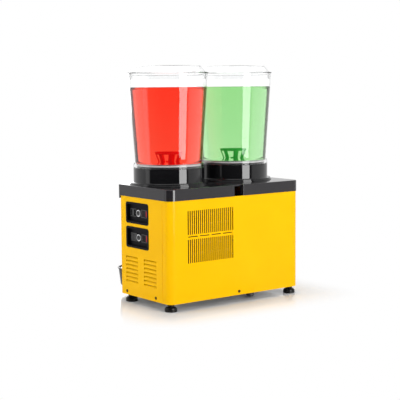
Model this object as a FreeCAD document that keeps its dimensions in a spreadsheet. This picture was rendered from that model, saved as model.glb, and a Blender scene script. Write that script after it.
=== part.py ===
import FreeCAD, Part
import math
import os
import re

import Sketcher
from FreeCAD import Placement, Rotation, Vector

# Twin-bowl cold drink dispenser, in millimetres.
# The taps and drip trays face -Y, the ventilation grille faces +Y, the switches face +X.
# The origin is the middle of the whole machine's footprint, on the surface it stands on.

# Case of folded sheet metal
case_length = 490
case_depth = 248
case_height = 296
case_corner = 21
wrap_seam_back = 34.8
wrap_seam_width = 1.2
wrap_seam_depth = 0.7
sheet = 1.2
sheet_gap = 0.2
panel_return = 15
pan_height = 14

# Levelling feet
foot_height = 23
foot_base_radius = 18
foot_base_thick = 8
foot_shoulder = 15
foot_neck_radius = 10
foot_stud_radius = 4
foot_stud_rise = 11
foot_nut_radius = 7
foot_nut_height = 6
foot_spread_x = case_length / 2 - 19
foot_spread_y = case_depth / 2 - 23
seat_gap = 0.3
running_gap = 0.05

# Black top cover, which overhangs the front
cover_height = 33
cover_wall = 3
cover_proud = 1.5
cover_overhang = 16
cover_edge = 2.5
cover_front_corner = 12
apron_drop = 8
lobe_radius = 118
cover_hole_radius = 90
waist_width = 32
waist_depth = 10
waist_offset = -7.5
waist_round = 2

# Bowl collars
bowl_spacing = case_length / 2 + 2
bowl_forward = 44.8
collar_radius = 106
collar_wall = 3.5
collar_height = 50
collar_flange_radius = 118.5
collar_flange_thick = 6.5
collar_flange_step = 3
collar_shelf_drop = 28
collar_shelf_thick = 3
collar_shelf_radius = 91

# Cold plate, its gasket and its cooling coil
plate_radius = 94
plate_wall = 1.5
plate_rise = 37
plate_flange_radius = 101
post_radius = 4
post_height = 8
gasket_thick = 2.7
gasket_height = 14
gasket_drop = 2
coil_radius = 70
coil_tube_radius = 4
coil_leg_drop = 62

# Clear bowls and lids
bowl_foot_height = 13
bowl_foot_step = 4.6
bowl_foot_groove = 2.2
bowl_base_radius = 100.2
bowl_top_radius = 118.1
bowl_height = 277.3
bowl_wall = 3
bowl_bore_radius = 97
spigot_height = 26
spigot_radius = 10.5
spigot_bore = 7
lid_rim_radius = 120
lid_rim_thick = 3
lid_dome_radius = 112
lid_top_radius = 98
lid_rise = 22.2
lid_wall = 2.2
lid_plug_radius = 113.2
lid_plug_depth = 17
lid_edge = 7

# Magnetically driven stirrer, its drive magnet and its motor
stirrer_base_radius = 22.5
stirrer_base_thick = 3.5
stirrer_crown_radius = 30.8
stirrer_height = 36.5
stirrer_wall = 2.4
stirrer_ring_thick = 8
stirrer_hub_radius = 7.5
stirrer_hub_height = 9.5
stirrer_ribs = 7
stirrer_rib_width = 8.6
stirrer_turn = -2.3
magnet_radius = 26
magnet_thick = 14
magnet_gap = 4
motor_radius = 30
motor_height = 38
drive_shaft_radius = 3
bridge_length = 204
bridge_width = 44
bridge_thick = 2

# Tap: barrel, screw cap, plunger, spring, pin and handle
tap_reach = 135.2
barrel_radius = 15
barrel_bore = 11
barrel_drop = 34
barrel_height = 75
spout_radius = 10
spout_bore = 7
spout_length = 42
socket_wall = 3
tap_seat = 0.5
cap_thick = 5
cap_skirt = 12
ear_thick = 4
ear_height = 20
ear_half_gap = 5
pivot_forward = 13
pivot_rise = 13
pin_radius = 2.5
plunger_radius = 9.5
plunger_head = 8
plunger_rod = 4
tang_thick = 4
cross_pin_radius = 2
lever_hub_radius = 6
lever_width = 9.2
slot_clearance = 0.6
handle_length = 66
handle_width = 16
handle_thick = 7
spring_radius = 7.6
spring_wire = 0.8
spring_turns = 9

# Drip trays and their grids
tray_radius = 66
tray_draft = 7
tray_forward = 90
tray_height = 57
tray_base = 22
tray_wall = 2.2
tray_back = 12
tray_rim = 2
tray_rim_thick = 3
tray_edge = 6
tray_ledge_drop = 6
tray_ledge_width = 4
grid_thick = 2
grid_gap = 0.6
grid_slot = 5
grid_pitch = 10
grid_border = 9
hook_width = 60
hook_thick = 2
hook_play = 1.5
hook_drop = 12

# Control pockets, their dials and rocker switches
pocket_width = 117
pocket_height = 63
pocket_corner = 8
pocket_lip = 4
pocket_lip_thick = 1.2
pocket_depth = 8
pocket_wall = 2
pocket_forward = 37.5
pocket_level = 272
pocket_pitch = 72.5
dial_ring_radius = 10
dial_ring_depth = 4
dial_radius = 7
dial_proud = 1.5
dial_shaft = 3
thermostat_side = 30
thermostat_depth = 32
rocker_offset = 28
rocker_frame_width = 32
rocker_frame_height = 24
rocker_frame_thick = 2
rocker_body_width = 28
rocker_body_height = 21
rocker_body_depth = 30
rocker_radius = 12.4
rocker_width = 18.6
rocker_end_rise = 5.2
rocker_dip = 3.4
rocker_tilt = 9

# Louvres, ventilation grille and screws
louvre_length = 63
louvre_press = 3
louvre_rise = 4
louvre_height = 6
louvre_pitch = 12.1
louvre_count = 7
louvre_level = 61.7
louvre_first = -99.5
louvre_column = 94.5
grille_start = 14
slot_width = 3.6
slot_pitch = 7.4
slot_count = 23
slot_length = 68.6
slot_upper = 219.4
slot_lower = 136.8
dash_level = 211.8
dash_height = 2.6
dash_length = 34
dash_pitch = 42
dash_count = 4
dash_start = 18.5
screw_level = 34
screw_radius = 2
screw_head = 4.2
screw_head_thick = 1.3
screw_length = 9
screw_end_front = -95.7
screw_end_rear = 54.3

# Cooling machinery in the case
compressor_x = 95 - case_length / 2
compressor_radius = 58
compressor_height = 150
compressor_dome = 26
compressor_seam = 3
compressor_plate = 3
discharge_x = 10
discharge_y = 34
suction_x = -24
suction_y = -10
stub_rise = 3
compressor_foot_x = 66
compressor_foot_y = 38
rubber_radius = 9
rubber_height = 7
condenser_start = 12
condenser_length = case_length / 2 - 71
condenser_depth = 30
condenser_back = 10
condenser_base = 62
condenser_height = 228
fin_thick = 0.8
fin_pitch = 6
condenser_tube = 4
tube_rows = 8
tube_pitch = 28
side_plate = 1.5
fin_count = 27
fan_radius = 72
fan_gap = 4
fan_depth = 14
fan_hub = 20
fan_blades = 5
fan_blade_thick = 1.6
fan_blade_angle = 28
fan_blade_width = 32
fan_motor_radius = 28
fan_motor_length = 40
shroud_thick = 2
pipe_radius = 3.2
pipe_bend = 14
drier_radius = 9
drier_length = 70
gland_x = 167 - case_length / 2
gland_y = case_depth / 2 - 34
gland_radius = 12.5
gland_thread = 9
gland_bore = 3.75
gland_drop = 17
gland_rise = 12

# Levels and places that follow from the sizes above
front_reach = case_depth / 2 + tray_forward + tray_radius
rear_reach = case_depth / 2 + cover_proud
mid_y = (front_reach - rear_reach) / 2
case_top = foot_height + case_height
cover_top = case_top + cover_height
collar_top = cover_top + collar_height
bowl_x = bowl_spacing / 2
bowl_y = mid_y - bowl_forward
front_y = mid_y - case_depth / 2
shelf_top = collar_top - collar_shelf_drop + collar_shelf_thick
bowl_base = collar_top + sheet_gap
plate_top = shelf_top + plate_rise
bowl_top = bowl_base + bowl_height
tap_y = bowl_y - tap_reach
spigot_level = bowl_base + spigot_height
barrel_base = spigot_level - barrel_drop
barrel_top = spigot_level - barrel_drop + barrel_height
tray_top = tray_base + tray_height
cap_top = barrel_top + cap_thick

# Every size above goes into the spreadsheet under its own name
sizes = {name: float(value) for name, value in list(globals().items()) if isinstance(value, (int, float))}
os.makedirs("parts", exist_ok=True)
doc = FreeCAD.newDocument("cold_drink_dispenser")
cells = doc.addObject("Spreadsheet::Sheet", "sizes")
for row, (alias, value) in enumerate(sizes.items(), 1):
    cells.set("A%d" % row, alias)
    cells.set("B%d" % row, str(value))
    cells.setAlias("B%d" % row, alias)
doc.recompute()

SIDES = (("left", -1), ("right", 1))
LEVELS = (("upper", 0), ("lower", 1))
TURN = {"x": Rotation(Vector(0, 1, 0), 90), "y": Rotation(Vector(1, 0, 0), -90), "z": Rotation()}
pieces = []


# Short helpers that bind a size to the named cells
def formula(text):
    """Point every size's name in a formula at its cell."""
    def cell(word):
        return "sizes." + word.group() if word.group() in sizes else word.group()
    return re.sub(r"[a-z][a-z_0-9]*", cell, str(text))


def bind(thing, prop, text):
    thing.setExpression(prop, formula(text))


def number(text):
    return float(cells.evalExpression(formula(text)))


def place(thing, x="0", y="0", z="0"):
    for axis, text in zip("xyz", (x, y, z)):
        bind(thing, "Placement.Base." + axis, text)
    return thing


def finish(name, thing, x="0", y="0", z="0"):
    """Name a sub-part and put it in its place."""
    place(thing, x, y, z)
    thing.Label = name
    pieces.append(thing)
    return thing


# Solid primitives, each spanning from a low to a high plane
def block(name, x, y, z):
    box = doc.addObject("Part::Box", name)
    for prop, (low, high) in zip(("Length", "Width", "Height"), (x, y, z)):
        bind(box, prop, "(%s) - (%s)" % (high, low))
    return place(box, x[0], y[0], z[0])


def rod(name, axis, radius, low, high, first="0", second="0"):
    """A round bar along one axis, its centre given on the other two."""
    bar = doc.addObject("Part::Cylinder", name)
    bind(bar, "Radius", radius)
    bind(bar, "Height", "(%s) - (%s)" % (high, low))
    bar.Placement = Placement(Vector(), TURN[axis])
    spot = [first, second]
    spot.insert("xyz".index(axis), low)
    return place(bar, *spot)


def plus(name, *shapes):
    joined = doc.addObject("Part::MultiFuse", name)
    joined.Shapes = list(shapes)
    joined.Refine = True
    return joined


def minus(name, base, *tools):
    result = doc.addObject("Part::Cut", name)
    result.Base = base
    result.Tool = tools[0] if len(tools) == 1 else plus(name + "_tools", *tools)
    result.Refine = True
    return result


def group(name, *shapes):
    bundle = doc.addObject("Part::Compound", name)
    bundle.Links = list(shapes)
    return bundle


def swung(name, axis, angle, shape, spot=Vector()):
    """The same shape, turned about an axis through its own origin and moved to a spot."""
    bundle = group(name, shape)
    bundle.Placement = Placement(spot, Rotation(axis, angle))
    return bundle


def for_each_bowl(name, make, y, z="0"):
    """One sub-part for the left bowl and one for the right."""
    for side, sign in SIDES:
        full = "%s_%s" % (name, side)
        finish(full, make(full), "%d * bowl_x" % sign, y, z)


def for_both_bowls(name, make, y, z="0"):
    """The same piece at both bowls, kept together as one sub-part."""
    twins = [place(make("%s_%s" % (name, side)), "%d * bowl_x" % sign) for side, sign in SIDES]
    finish(name, group(name + "_pair", *twins), y=y, z=z)


# Sketches on a body's own planes
def new_body(name):
    return doc.addObject("PartDesign::Body", name + "_body")


def sketch_on(body, name, role, offset="0"):
    drawing = body.newObject("Sketcher::SketchObject", name)
    plane = [feature for feature in body.Origin.OriginFeatures if feature.Role == role][0]
    drawing.AttachmentSupport = (plane, [""])
    drawing.MapMode = "FlatFace"
    bind(drawing, "AttachmentOffset.Base.z", offset)
    return drawing


def pin(drawing, kind, line, end, text):
    """Hold one coordinate of a point at a size, measured from the sketch's origin."""
    value = number(text)
    if abs(value) < 1e-9:
        drawing.addConstraint(Sketcher.Constraint("PointOnObject", line, end,
                                                  -2 if kind == "DistanceX" else -1))
        return
    index = drawing.addConstraint(Sketcher.Constraint(kind, -1, 1, line, end, value))
    bind(drawing, "Constraints[%d]" % index, text)


def polygon(drawing, corners):
    """A closed outline of straight lines through corners given as formulas."""
    spots = [Vector(number(x), number(y), 0) for x, y in corners]
    first = len(drawing.Geometry)
    count = len(spots)
    for i in range(count):
        drawing.addGeometry(Part.LineSegment(spots[i], spots[(i + 1) % count]), False)
    for i in range(count):
        following = first + (i + 1) % count
        drawing.addConstraint(Sketcher.Constraint("Coincident", first + i, 2, following, 1))
    for i, (x, y) in enumerate(corners):
        pin(drawing, "DistanceX", first + i, 1, x)
        pin(drawing, "DistanceY", first + i, 1, y)


def outline(drawing, corners):
    """A closed outline of upright and level lines, each corner with a radius or None."""
    count = len(corners)
    spots = [Vector(number(x), number(y), 0) for x, y, _ in corners]
    radii = [number(radius) if radius else 0 for _, _, radius in corners]
    steps = [(spots[(i + 1) % count] - spots[i]).normalize() for i in range(count)]
    first = len(drawing.Geometry)
    for i in range(count):
        j = (i + 1) % count
        start = spots[i] + steps[i] * radii[i]
        end = spots[j] - steps[i] * radii[j]
        drawing.addGeometry(Part.LineSegment(start, end), False)
        level = abs(steps[i].x) > abs(steps[i].y)
        drawing.addConstraint(Sketcher.Constraint("Horizontal" if level else "Vertical", first + i))
        pin(drawing, "DistanceY" if level else "DistanceX", first + i, 1, corners[i][1 if level else 0])
    for i in range(count):
        before = first + (i - 1) % count
        after = first + i
        if not radii[i]:
            drawing.addConstraint(Sketcher.Constraint("Coincident", before, 2, after, 1))
            continue
        arriving, leaving = steps[i - 1], steps[i]
        left_turn = arriving.x * leaving.y - arriving.y * leaving.x > 0
        middle = spots[i] + (leaving - arriving) * radii[i]
        starting = spots[i] - arriving * radii[i] if left_turn else spots[i] + leaving * radii[i]
        low = math.atan2(starting.y - middle.y, starting.x - middle.x)
        circle = Part.Circle(middle, Vector(0, 0, 1), radii[i])
        arc = drawing.addGeometry(Part.ArcOfCircle(circle, low, low + math.pi / 2), False)
        near, far = (1, 2) if left_turn else (2, 1)
        drawing.addConstraint(Sketcher.Constraint("Tangent", before, 2, arc, near))
        drawing.addConstraint(Sketcher.Constraint("Tangent", arc, far, after, 1))
        index = drawing.addConstraint(Sketcher.Constraint("Radius", arc, radii[i]))
        bind(drawing, "Constraints[%d]" % index, corners[i][2])


def rectangle(drawing, x, y, corner=None):
    low_x, high_x = x
    low_y, high_y = y
    outline(drawing, [(low_x, low_y, corner), (high_x, low_y, corner),
                      (high_x, high_y, corner), (low_x, high_y, corner)])


def circle(drawing, x, y, radius):
    spot = Vector(number(x), number(y), 0)
    ring = drawing.addGeometry(Part.Circle(spot, Vector(0, 0, 1), number(radius)), False)
    pin(drawing, "DistanceX", ring, 3, x)
    pin(drawing, "DistanceY", ring, 3, y)
    index = drawing.addConstraint(Sketcher.Constraint("Radius", ring, number(radius)))
    bind(drawing, "Constraints[%d]" % index, radius)


# Features that turn sketches into solids
def pad(body, name, drawing, length):
    feature = body.newObject("PartDesign::Pad", name)
    feature.Profile = drawing
    bind(feature, "Length", length)
    return feature


def pocket(body, name, drawing, length, reverse=False):
    feature = body.newObject("PartDesign::Pocket", name)
    feature.Profile = drawing
    bind(feature, "Length", length)
    feature.Reversed = reverse
    return feature


def row_of(body, name, features, drawing, axis, pitch, count):
    """Repeat features in a row along an axis of a sketch."""
    pattern = body.newObject("PartDesign::LinearPattern", name)
    pattern.Originals = features
    pattern.Direction = (drawing, [axis])
    bind(pattern, "Length", "(%s) * (%s - 1)" % (pitch, count))
    bind(pattern, "Occurrences", count)
    body.Tip = pattern
    return pattern


def turned(name, corners):
    """A body of revolution about the upright axis, from radius and height pairs."""
    body = new_body(name)
    drawing = sketch_on(body, name + "_section", "XZ_Plane")
    polygon(drawing, corners)
    spin = body.newObject("PartDesign::Revolution", name + "_turned")
    spin.Profile = drawing
    spin.ReferenceAxis = (drawing, ["V_Axis"])
    spin.Angle = 360
    return body


def round_rings(body, name, radius, rings):
    """Round the circular edges that lie at the given radius and height."""
    doc.recompute()
    tip = body.Tip
    found = []
    for ring_radius, ring_height in rings:
        wanted_radius, wanted_height = number(ring_radius), number(ring_height)
        for i, edge in enumerate(tip.Shape.Edges):
            curve = edge.Curve
            if not isinstance(curve, Part.Circle) or abs(curve.Radius - wanted_radius) > 0.01:
                continue
            if abs(curve.Center.z - wanted_height) < 0.01:
                found.append("Edge%d" % (i + 1))
    if len(found) < len(rings):
        raise ValueError("an edge to round is missing on " + name)
    fillet = body.newObject("PartDesign::Fillet", name)
    fillet.Base = (tip, found)
    bind(fillet, "Radius", radius)


# Case: a wrap round the rear and both ends, a front panel and a floor pan
def louvre_section(drawing, side, gap):
    """One louvre's section on an end wall: the gap cut in it, or the strip pressed inwards."""
    wall = "%d * (case_length / 2" % side
    if gap:
        polygon(drawing, [(wall + " - sheet * 2)", "louvre_level"), (wall + " + sheet)", "louvre_level"),
                          (wall + " + sheet)", "louvre_level + louvre_height"),
                          (wall + " - sheet * 2)", "louvre_level + louvre_height")])
        return
    polygon(drawing, [(wall + ")", "louvre_level"),
                      (wall + " - louvre_press)", "louvre_level + louvre_rise"),
                      (wall + " - louvre_press - sheet)", "louvre_level + louvre_rise"),
                      (wall + " - sheet)", "louvre_level - sheet / 2"),
                      (wall + " - sheet / 2)", "louvre_level - sheet / 2")])


def drill_screw_holes(body, name):
    """The holes for the screws that join the wrap to the floor pan."""
    ends = sketch_on(body, name + "_end_holes", "YZ_Plane", "-case_length / 2 - 1")
    for along in ("screw_end_front", "screw_end_rear"):
        circle(ends, along, "screw_level", "screw_radius + sheet_gap")
    pocket(body, name + "_end_hole_cut", ends, "case_length + 2", reverse=True)
    rear = sketch_on(body, name + "_rear_hole", "XZ_Plane")
    circle(rear, "waist_offset", "screw_level", "screw_radius + sheet_gap")
    pocket(body, name + "_rear_hole_cut", rear, "case_depth")


def make_housing_wrap():
    body = new_body("housing_wrap")
    plan = sketch_on(body, "wrap_plan", "XY_Plane", "foot_height")
    half, deep = "case_length / 2", "case_depth / 2"
    outline(plan, [(half, "-" + deep, None), (half, deep, "case_corner"),
                   ("-" + half, deep, "case_corner"), ("-" + half, "-" + deep, None),
                   ("sheet - " + half, "-" + deep, None),
                   ("sheet - " + half, deep + " - sheet", "case_corner - sheet"),
                   (half + " - sheet", deep + " - sheet", "case_corner - sheet"),
                   (half + " - sheet", "-" + deep, None)])
    pad(body, "wrap_wall", plan, "case_height")
    seams = sketch_on(body, "wrap_seams", "XY_Plane", "foot_height")
    back = "case_depth / 2 - wrap_seam_back"
    for near, far in (("case_length / 2 - wrap_seam_depth", "case_length / 2 + 1"),
                      ("-case_length / 2 - 1", "wrap_seam_depth - case_length / 2")):
        rectangle(seams, (near, far), (back + " - wrap_seam_width / 2", back + " + wrap_seam_width / 2"))
    pocket(body, "wrap_seam_cut", seams, "case_height", reverse=True)
    openings = sketch_on(body, "pocket_openings", "YZ_Plane")
    for _, step in LEVELS:
        level = "pocket_level - %d * pocket_pitch" % step
        rectangle(openings,
                  ("-pocket_forward - pocket_width / 2 + pocket_lip",
                   "-pocket_forward + pocket_width / 2 - pocket_lip"),
                  (level + " - pocket_height / 2 + pocket_lip", level + " + pocket_height / 2 - pocket_lip"),
                  "pocket_corner - pocket_lip / 2")
    pocket(body, "pocket_cut", openings, "case_length", reverse=True)
    drill_screw_holes(body, "wrap")
    slots = sketch_on(body, "grille_slots", "XZ_Plane")
    for level in ("slot_upper", "slot_lower"):
        rectangle(slots, ("grille_start", "grille_start + slot_width"), (level, level + " + slot_length"))
    slot_cut = pocket(body, "grille_cut", slots, "case_depth")
    row_of(body, "grille_row", [slot_cut], slots, "H_Axis", "slot_pitch", "slot_count")
    dash = sketch_on(body, "grille_dash", "XZ_Plane")
    rectangle(dash, ("dash_start", "dash_start + dash_length"), ("dash_level", "dash_level + dash_height"))
    dash_cut = pocket(body, "dash_cut", dash, "case_depth")
    row_of(body, "dash_row", [dash_cut], dash, "H_Axis", "dash_pitch", "dash_count")
    for column in (0, 1):
        near = "louvre_first + %d * louvre_column" % column
        gap = sketch_on(body, "louvre_gap_%d" % column, "XZ_Plane", "-(%s)" % near)
        louvre_section(gap, 1, True)
        louvre_section(gap, -1, True)
        gap_cut = pocket(body, "louvre_cut_%d" % column, gap, "louvre_length")
        row_of(body, "louvre_cut_row_%d" % column, [gap_cut], gap, "V_Axis", "louvre_pitch", "louvre_count")
        strip = sketch_on(body, "louvre_%d" % column, "XZ_Plane", "-(%s + louvre_length - sheet)" % near)
        louvre_section(strip, 1, False)
        louvre_section(strip, -1, False)
        strip_pad = pad(body, "louvre_pad_%d" % column, strip, "louvre_length - 2 * sheet")
        row_of(body, "louvre_row_%d" % column, [strip_pad], strip, "V_Axis", "louvre_pitch",
               "louvre_count")
    finish("housing_wrap", body, y="mid_y")


def make_front_panel():
    body = new_body("front_panel")
    plan = sketch_on(body, "front_plan", "XY_Plane", "foot_height")
    half = "(case_length / 2 - sheet - sheet_gap)"
    front, back = "-case_depth / 2", "panel_return - case_depth / 2"
    outline(plan, [("-" + half, front, None), (half, front, None), (half, back, None),
                   (half + " - sheet", back, None), (half + " - sheet", front + " + sheet", None),
                   ("sheet - " + half, front + " + sheet", None), ("sheet - " + half, back, None),
                   ("-" + half, back, None)])
    pad(body, "front_wall", plan, "case_height")
    finish("front_panel", body, y="mid_y")


def make_base_plate():
    body = new_body("base_plate")
    half = "(case_length / 2 - 2 * sheet - 3 * sheet_gap)"
    front = "(sheet + sheet_gap - case_depth / 2)"
    back = "(case_depth / 2 - sheet - sheet_gap)"
    corner = "case_corner - 2 * sheet - 3 * sheet_gap"
    outer = sketch_on(body, "pan_outer", "XY_Plane", "foot_height")
    outline(outer, [("-" + half, front, None), (half, front, None), (half, back, corner),
                    ("-" + half, back, corner)])
    pad(body, "pan_block", outer, "pan_height")
    inner = sketch_on(body, "pan_inner", "XY_Plane", "foot_height + sheet")
    outline(inner, [("sheet - " + half, front + " + sheet", None),
                    (half + " - sheet", front + " + sheet", None),
                    (half + " - sheet", back + " - sheet", corner + " - sheet"),
                    ("sheet - " + half, back + " - sheet", corner + " - sheet")])
    pocket(body, "pan_hollow", inner, "pan_height", reverse=True)
    nuts = sketch_on(body, "foot_nuts", "XY_Plane", "foot_height + sheet / 2")
    holes = sketch_on(body, "foot_holes", "XY_Plane", "foot_height - 1")
    for x in ("-foot_spread_x", "foot_spread_x"):
        for y in ("-foot_spread_y", "foot_spread_y"):
            circle(nuts, x, y, "foot_nut_radius")
            circle(holes, x, y, "foot_stud_radius + running_gap")
    pad(body, "foot_nut_pads", nuts, "foot_nut_height + sheet / 2")
    circle(holes, "gland_x", "gland_y", "gland_thread + sheet_gap")
    pocket(body, "foot_hole_cut", holes, "pan_height", reverse=True)
    drill_screw_holes(body, "pan")
    finish("base_plate", body, y="mid_y")


def make_panel_screws():
    """The pan-head screws that hold the wrap to the floor pan."""
    screws = []
    for side in (-1, 1):
        for index, along in enumerate(("screw_end_front", "screw_end_rear")):
            wall = "%d * case_length / 2" % side
            name = "screw_%d_%d" % (side + 1, index)
            head = (wall, wall + " + screw_head_thick") if side > 0 else (wall + " - screw_head_thick", wall)
            shank = (wall + " - screw_length", wall) if side > 0 else (wall, wall + " + screw_length")
            screws.append(plus(name, rod(name + "_head", "x", "screw_head", *head, along, "screw_level"),
                               rod(name + "_shank", "x", "screw_radius", *shank, along, "screw_level")))
    back = "case_depth / 2"
    head = rod("rear_screw_head", "y", "screw_head", back, back + " + screw_head_thick", "waist_offset",
               "screw_level")
    shank = rod("rear_screw_shank", "y", "screw_radius", back + " - screw_length", back, "waist_offset",
                "screw_level")
    screws.append(plus("rear_screw", head, shank))
    finish("panel_screws", group("panel_screws_group", *screws), y="mid_y")


def make_feet():
    """Four rubber levelling feet on threaded studs."""
    top = "foot_height - seat_gap"
    for name, x, y in (("foot_front_left", -1, -1), ("foot_front_right", 1, -1),
                       ("foot_rear_left", -1, 1), ("foot_rear_right", 1, 1)):
        foot = turned(name, [("0", "0"), ("foot_base_radius - 1", "0"), ("foot_base_radius", "1"),
                             ("foot_base_radius", "foot_base_thick"),
                             ("foot_base_radius - 1.4", "foot_shoulder - 4"),
                             ("foot_base_radius - 4.2", "foot_shoulder - 1.4"),
                             ("foot_neck_radius", "foot_shoulder"),
                             ("foot_neck_radius", top), ("foot_stud_radius", top),
                             ("foot_stud_radius", "foot_height + foot_stud_rise"),
                             ("0", "foot_height + foot_stud_rise")])
        finish(name, foot, "%d * foot_spread_x" % x, "mid_y + %d * foot_spread_y" % y)


# Top cover with its front lobes, apron, rear waist and bowl holes
def make_top_cover():
    body = new_body("top_cover")
    half = "(case_length / 2 + cover_proud)"
    rear = "(case_depth / 2 + cover_proud)"
    front = "(case_depth / 2 + cover_overhang)"
    corner = "cover_front_corner"
    rear_corner = "case_corner + cover_proud"
    plan = sketch_on(body, "cover_plan", "XY_Plane", "case_top")
    outline(plan, [("-" + half, "-" + front, corner), (half, "-" + front, corner),
                   (half, rear, rear_corner), ("-" + half, rear, rear_corner)])
    pad(body, "cover_slab", plan, "cover_height")
    lobes = sketch_on(body, "cover_lobes", "XY_Plane", "case_top")
    for _, side in SIDES:
        circle(lobes, "%d * bowl_x" % side, "-bowl_forward", "lobe_radius")
    pad(body, "cover_lobe_pad", lobes, "cover_height")
    apron = sketch_on(body, "cover_apron", "XY_Plane", "case_top - apron_drop")
    outline(apron, [("-" + half, "-" + front, corner), (half, "-" + front, corner),
                    (half, "-case_depth / 2 - seat_gap", None),
                    ("-" + half, "-case_depth / 2 - seat_gap", None)])
    pad(body, "cover_apron_pad", apron, "apron_drop + cover_wall")
    hollow = sketch_on(body, "cover_hollow", "XY_Plane", "case_top - apron_drop")
    inner_half = half + " - cover_wall"
    outline(hollow, [("cover_wall - " + half, "cover_wall - case_depth / 2", None),
                     (inner_half, "cover_wall - case_depth / 2", None),
                     (inner_half, rear + " - cover_wall", rear_corner + " - cover_wall"),
                     ("cover_wall - " + half, rear + " - cover_wall", rear_corner + " - cover_wall")])
    pocket(body, "cover_hollow_cut", hollow, "cover_height + apron_drop - cover_wall", reverse=True)
    waist_wall = sketch_on(body, "waist_wall", "XY_Plane", "case_top")
    low, high = "waist_offset - waist_width / 2", "waist_offset + waist_width / 2"
    rectangle(waist_wall, (low + " - cover_wall", high + " + cover_wall"),
              (rear + " - waist_depth - cover_wall", rear + " - 1"))
    pad(body, "waist_wall_pad", waist_wall, "cover_height - 1")
    waist = sketch_on(body, "waist_notch", "XY_Plane", "case_top - 1")
    rectangle(waist, (low, high), (rear + " - waist_depth", rear + " + 5"))
    pocket(body, "waist_cut", waist, "cover_height + 2", reverse=True)
    outlet = sketch_on(body, "waist_outlet", "XZ_Plane", "-(%s - waist_depth + 1)" % rear)
    rectangle(outlet, (low + " + 1", high + " - 1"), ("case_top - 1", "cover_top - cover_wall - 2"))
    pocket(body, "waist_outlet_cut", outlet, "cover_wall + 2", reverse=True)
    holes = sketch_on(body, "bowl_holes", "XY_Plane", "cover_top - cover_wall - 1")
    for _, side in SIDES:
        circle(holes, "%d * bowl_x" % side, "-bowl_forward", "cover_hole_radius")
    pocket(body, "bowl_hole_cut", holes, "cover_wall + 2", reverse=True)
    round_waist_corners(body)
    round_cover_edge(body)
    finish("top_cover", body, y="mid_y")


def round_waist_corners(body):
    """Round the two outer corners of the waist in the rear skirt."""
    doc.recompute()
    tip = body.Tip
    found = []
    for i, edge in enumerate(tip.Shape.Edges):
        box = edge.BoundBox
        upright = box.ZLength > cover_height - 1 and box.XLength < 0.01 and box.YLength < 0.01
        rear = abs(box.YMax - case_depth / 2 - cover_proud) < 0.01
        if upright and rear and abs(box.XMin - waist_offset) < waist_width:
            found.append("Edge%d" % (i + 1))
    fillet = body.newObject("PartDesign::Fillet", "waist_round")
    fillet.Base = (tip, found)
    bind(fillet, "Radius", "waist_round")


def round_cover_edge(body):
    """Round the cover's outer top edge, all but the rims of the bowl holes."""
    doc.recompute()
    tip = body.Tip
    found = []
    for i, edge in enumerate(tip.Shape.Edges):
        box = edge.BoundBox
        level = abs(box.ZMin - cover_top) < 0.01 and abs(box.ZMax - cover_top) < 0.01
        hole = isinstance(edge.Curve, Part.Circle) and abs(edge.Curve.Radius - cover_hole_radius) < 0.01
        if level and not hole:
            found.append("Edge%d" % (i + 1))
    fillet = body.newObject("PartDesign::Fillet", "cover_edge_round")
    fillet.Base = (tip, found)
    bind(fillet, "Radius", "cover_edge")


# Parts that repeat under and in each bowl
def make_collar(name):
    inner = "collar_radius - collar_wall"
    shelf = "collar_height - collar_shelf_drop"
    ledge = "collar_flange_radius - collar_flange_step"
    collar = turned(name, [(inner, "0"), ("collar_flange_radius", "0"),
                           ("collar_flange_radius", "collar_flange_step"), (ledge, "collar_flange_step"),
                           (ledge, "collar_flange_thick"),
                           ("collar_radius", "collar_flange_thick"), ("collar_radius", "collar_height"),
                           (inner, "collar_height"), (inner, shelf + " + collar_shelf_thick"),
                           ("collar_shelf_radius", shelf + " + collar_shelf_thick"),
                           ("collar_shelf_radius", shelf), (inner, shelf)])
    round_rings(collar, name + "_flange_round", "1",
                [("collar_flange_radius", "collar_flange_step"), (ledge, "collar_flange_thick")])
    round_rings(collar, name + "_foot_round", "cover_edge", [("collar_radius", "collar_flange_thick")])
    return collar


def make_cold_plate(name):
    post_top = "plate_rise + post_height"
    plate = turned(name, [("0", "plate_rise - plate_wall"),
                          ("plate_radius - plate_wall", "plate_rise - plate_wall"),
                          ("plate_radius - plate_wall", "0"), ("plate_flange_radius", "0"),
                          ("plate_flange_radius", "plate_wall"), ("plate_radius", "plate_wall"),
                          ("plate_radius", "plate_rise"), ("post_radius", "plate_rise"),
                          ("post_radius", post_top + " - 1.5"), ("post_radius - 1.5", post_top),
                          ("0", post_top)])
    round_rings(plate, name + "_round", "cover_edge - 1", [("plate_radius", "plate_rise")])
    return plate


def make_gasket(name):
    middle = "gasket_height / 2"
    return turned(name, [("plate_radius", "0"), ("plate_radius + gasket_thick - 1", "0"),
                         ("plate_radius + gasket_thick", "1"),
                         ("plate_radius + gasket_thick", middle + " - 2"),
                         ("plate_radius + gasket_thick - 1", middle),
                         ("plate_radius + gasket_thick", middle + " + 2"),
                         ("plate_radius + gasket_thick", "gasket_height - 1"),
                         ("plate_radius + gasket_thick - 1", "gasket_height"),
                         ("plate_radius", "gasket_height")])


def make_cooling_coil(name):
    """Two copper rings pressed to the underside of the cold plate, with their two legs."""
    level = "-plate_wall - coil_tube_radius - 0.1"
    rings = []
    for step in (0, 1):
        ring = doc.addObject("Part::Torus", "%s_ring_%d" % (name, step))
        bind(ring, "Radius1", "coil_radius - %d * 2.4 * coil_tube_radius" % step)
        bind(ring, "Radius2", "coil_tube_radius")
        rings.append(place(ring, z=level))
    bridge = rod(name + "_bridge", "x", "coil_tube_radius", "coil_radius - 2.4 * coil_tube_radius",
                 "coil_radius", "0", level)
    legs = [rod("%s_leg_%d" % (name, step), "z", "pipe_radius", level + " - coil_leg_drop", level,
                "0", "coil_radius - %d * 2.4 * coil_tube_radius" % step) for step in (0, 1)]
    return plus(name + "_joined", *rings, bridge, *legs)


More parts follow.
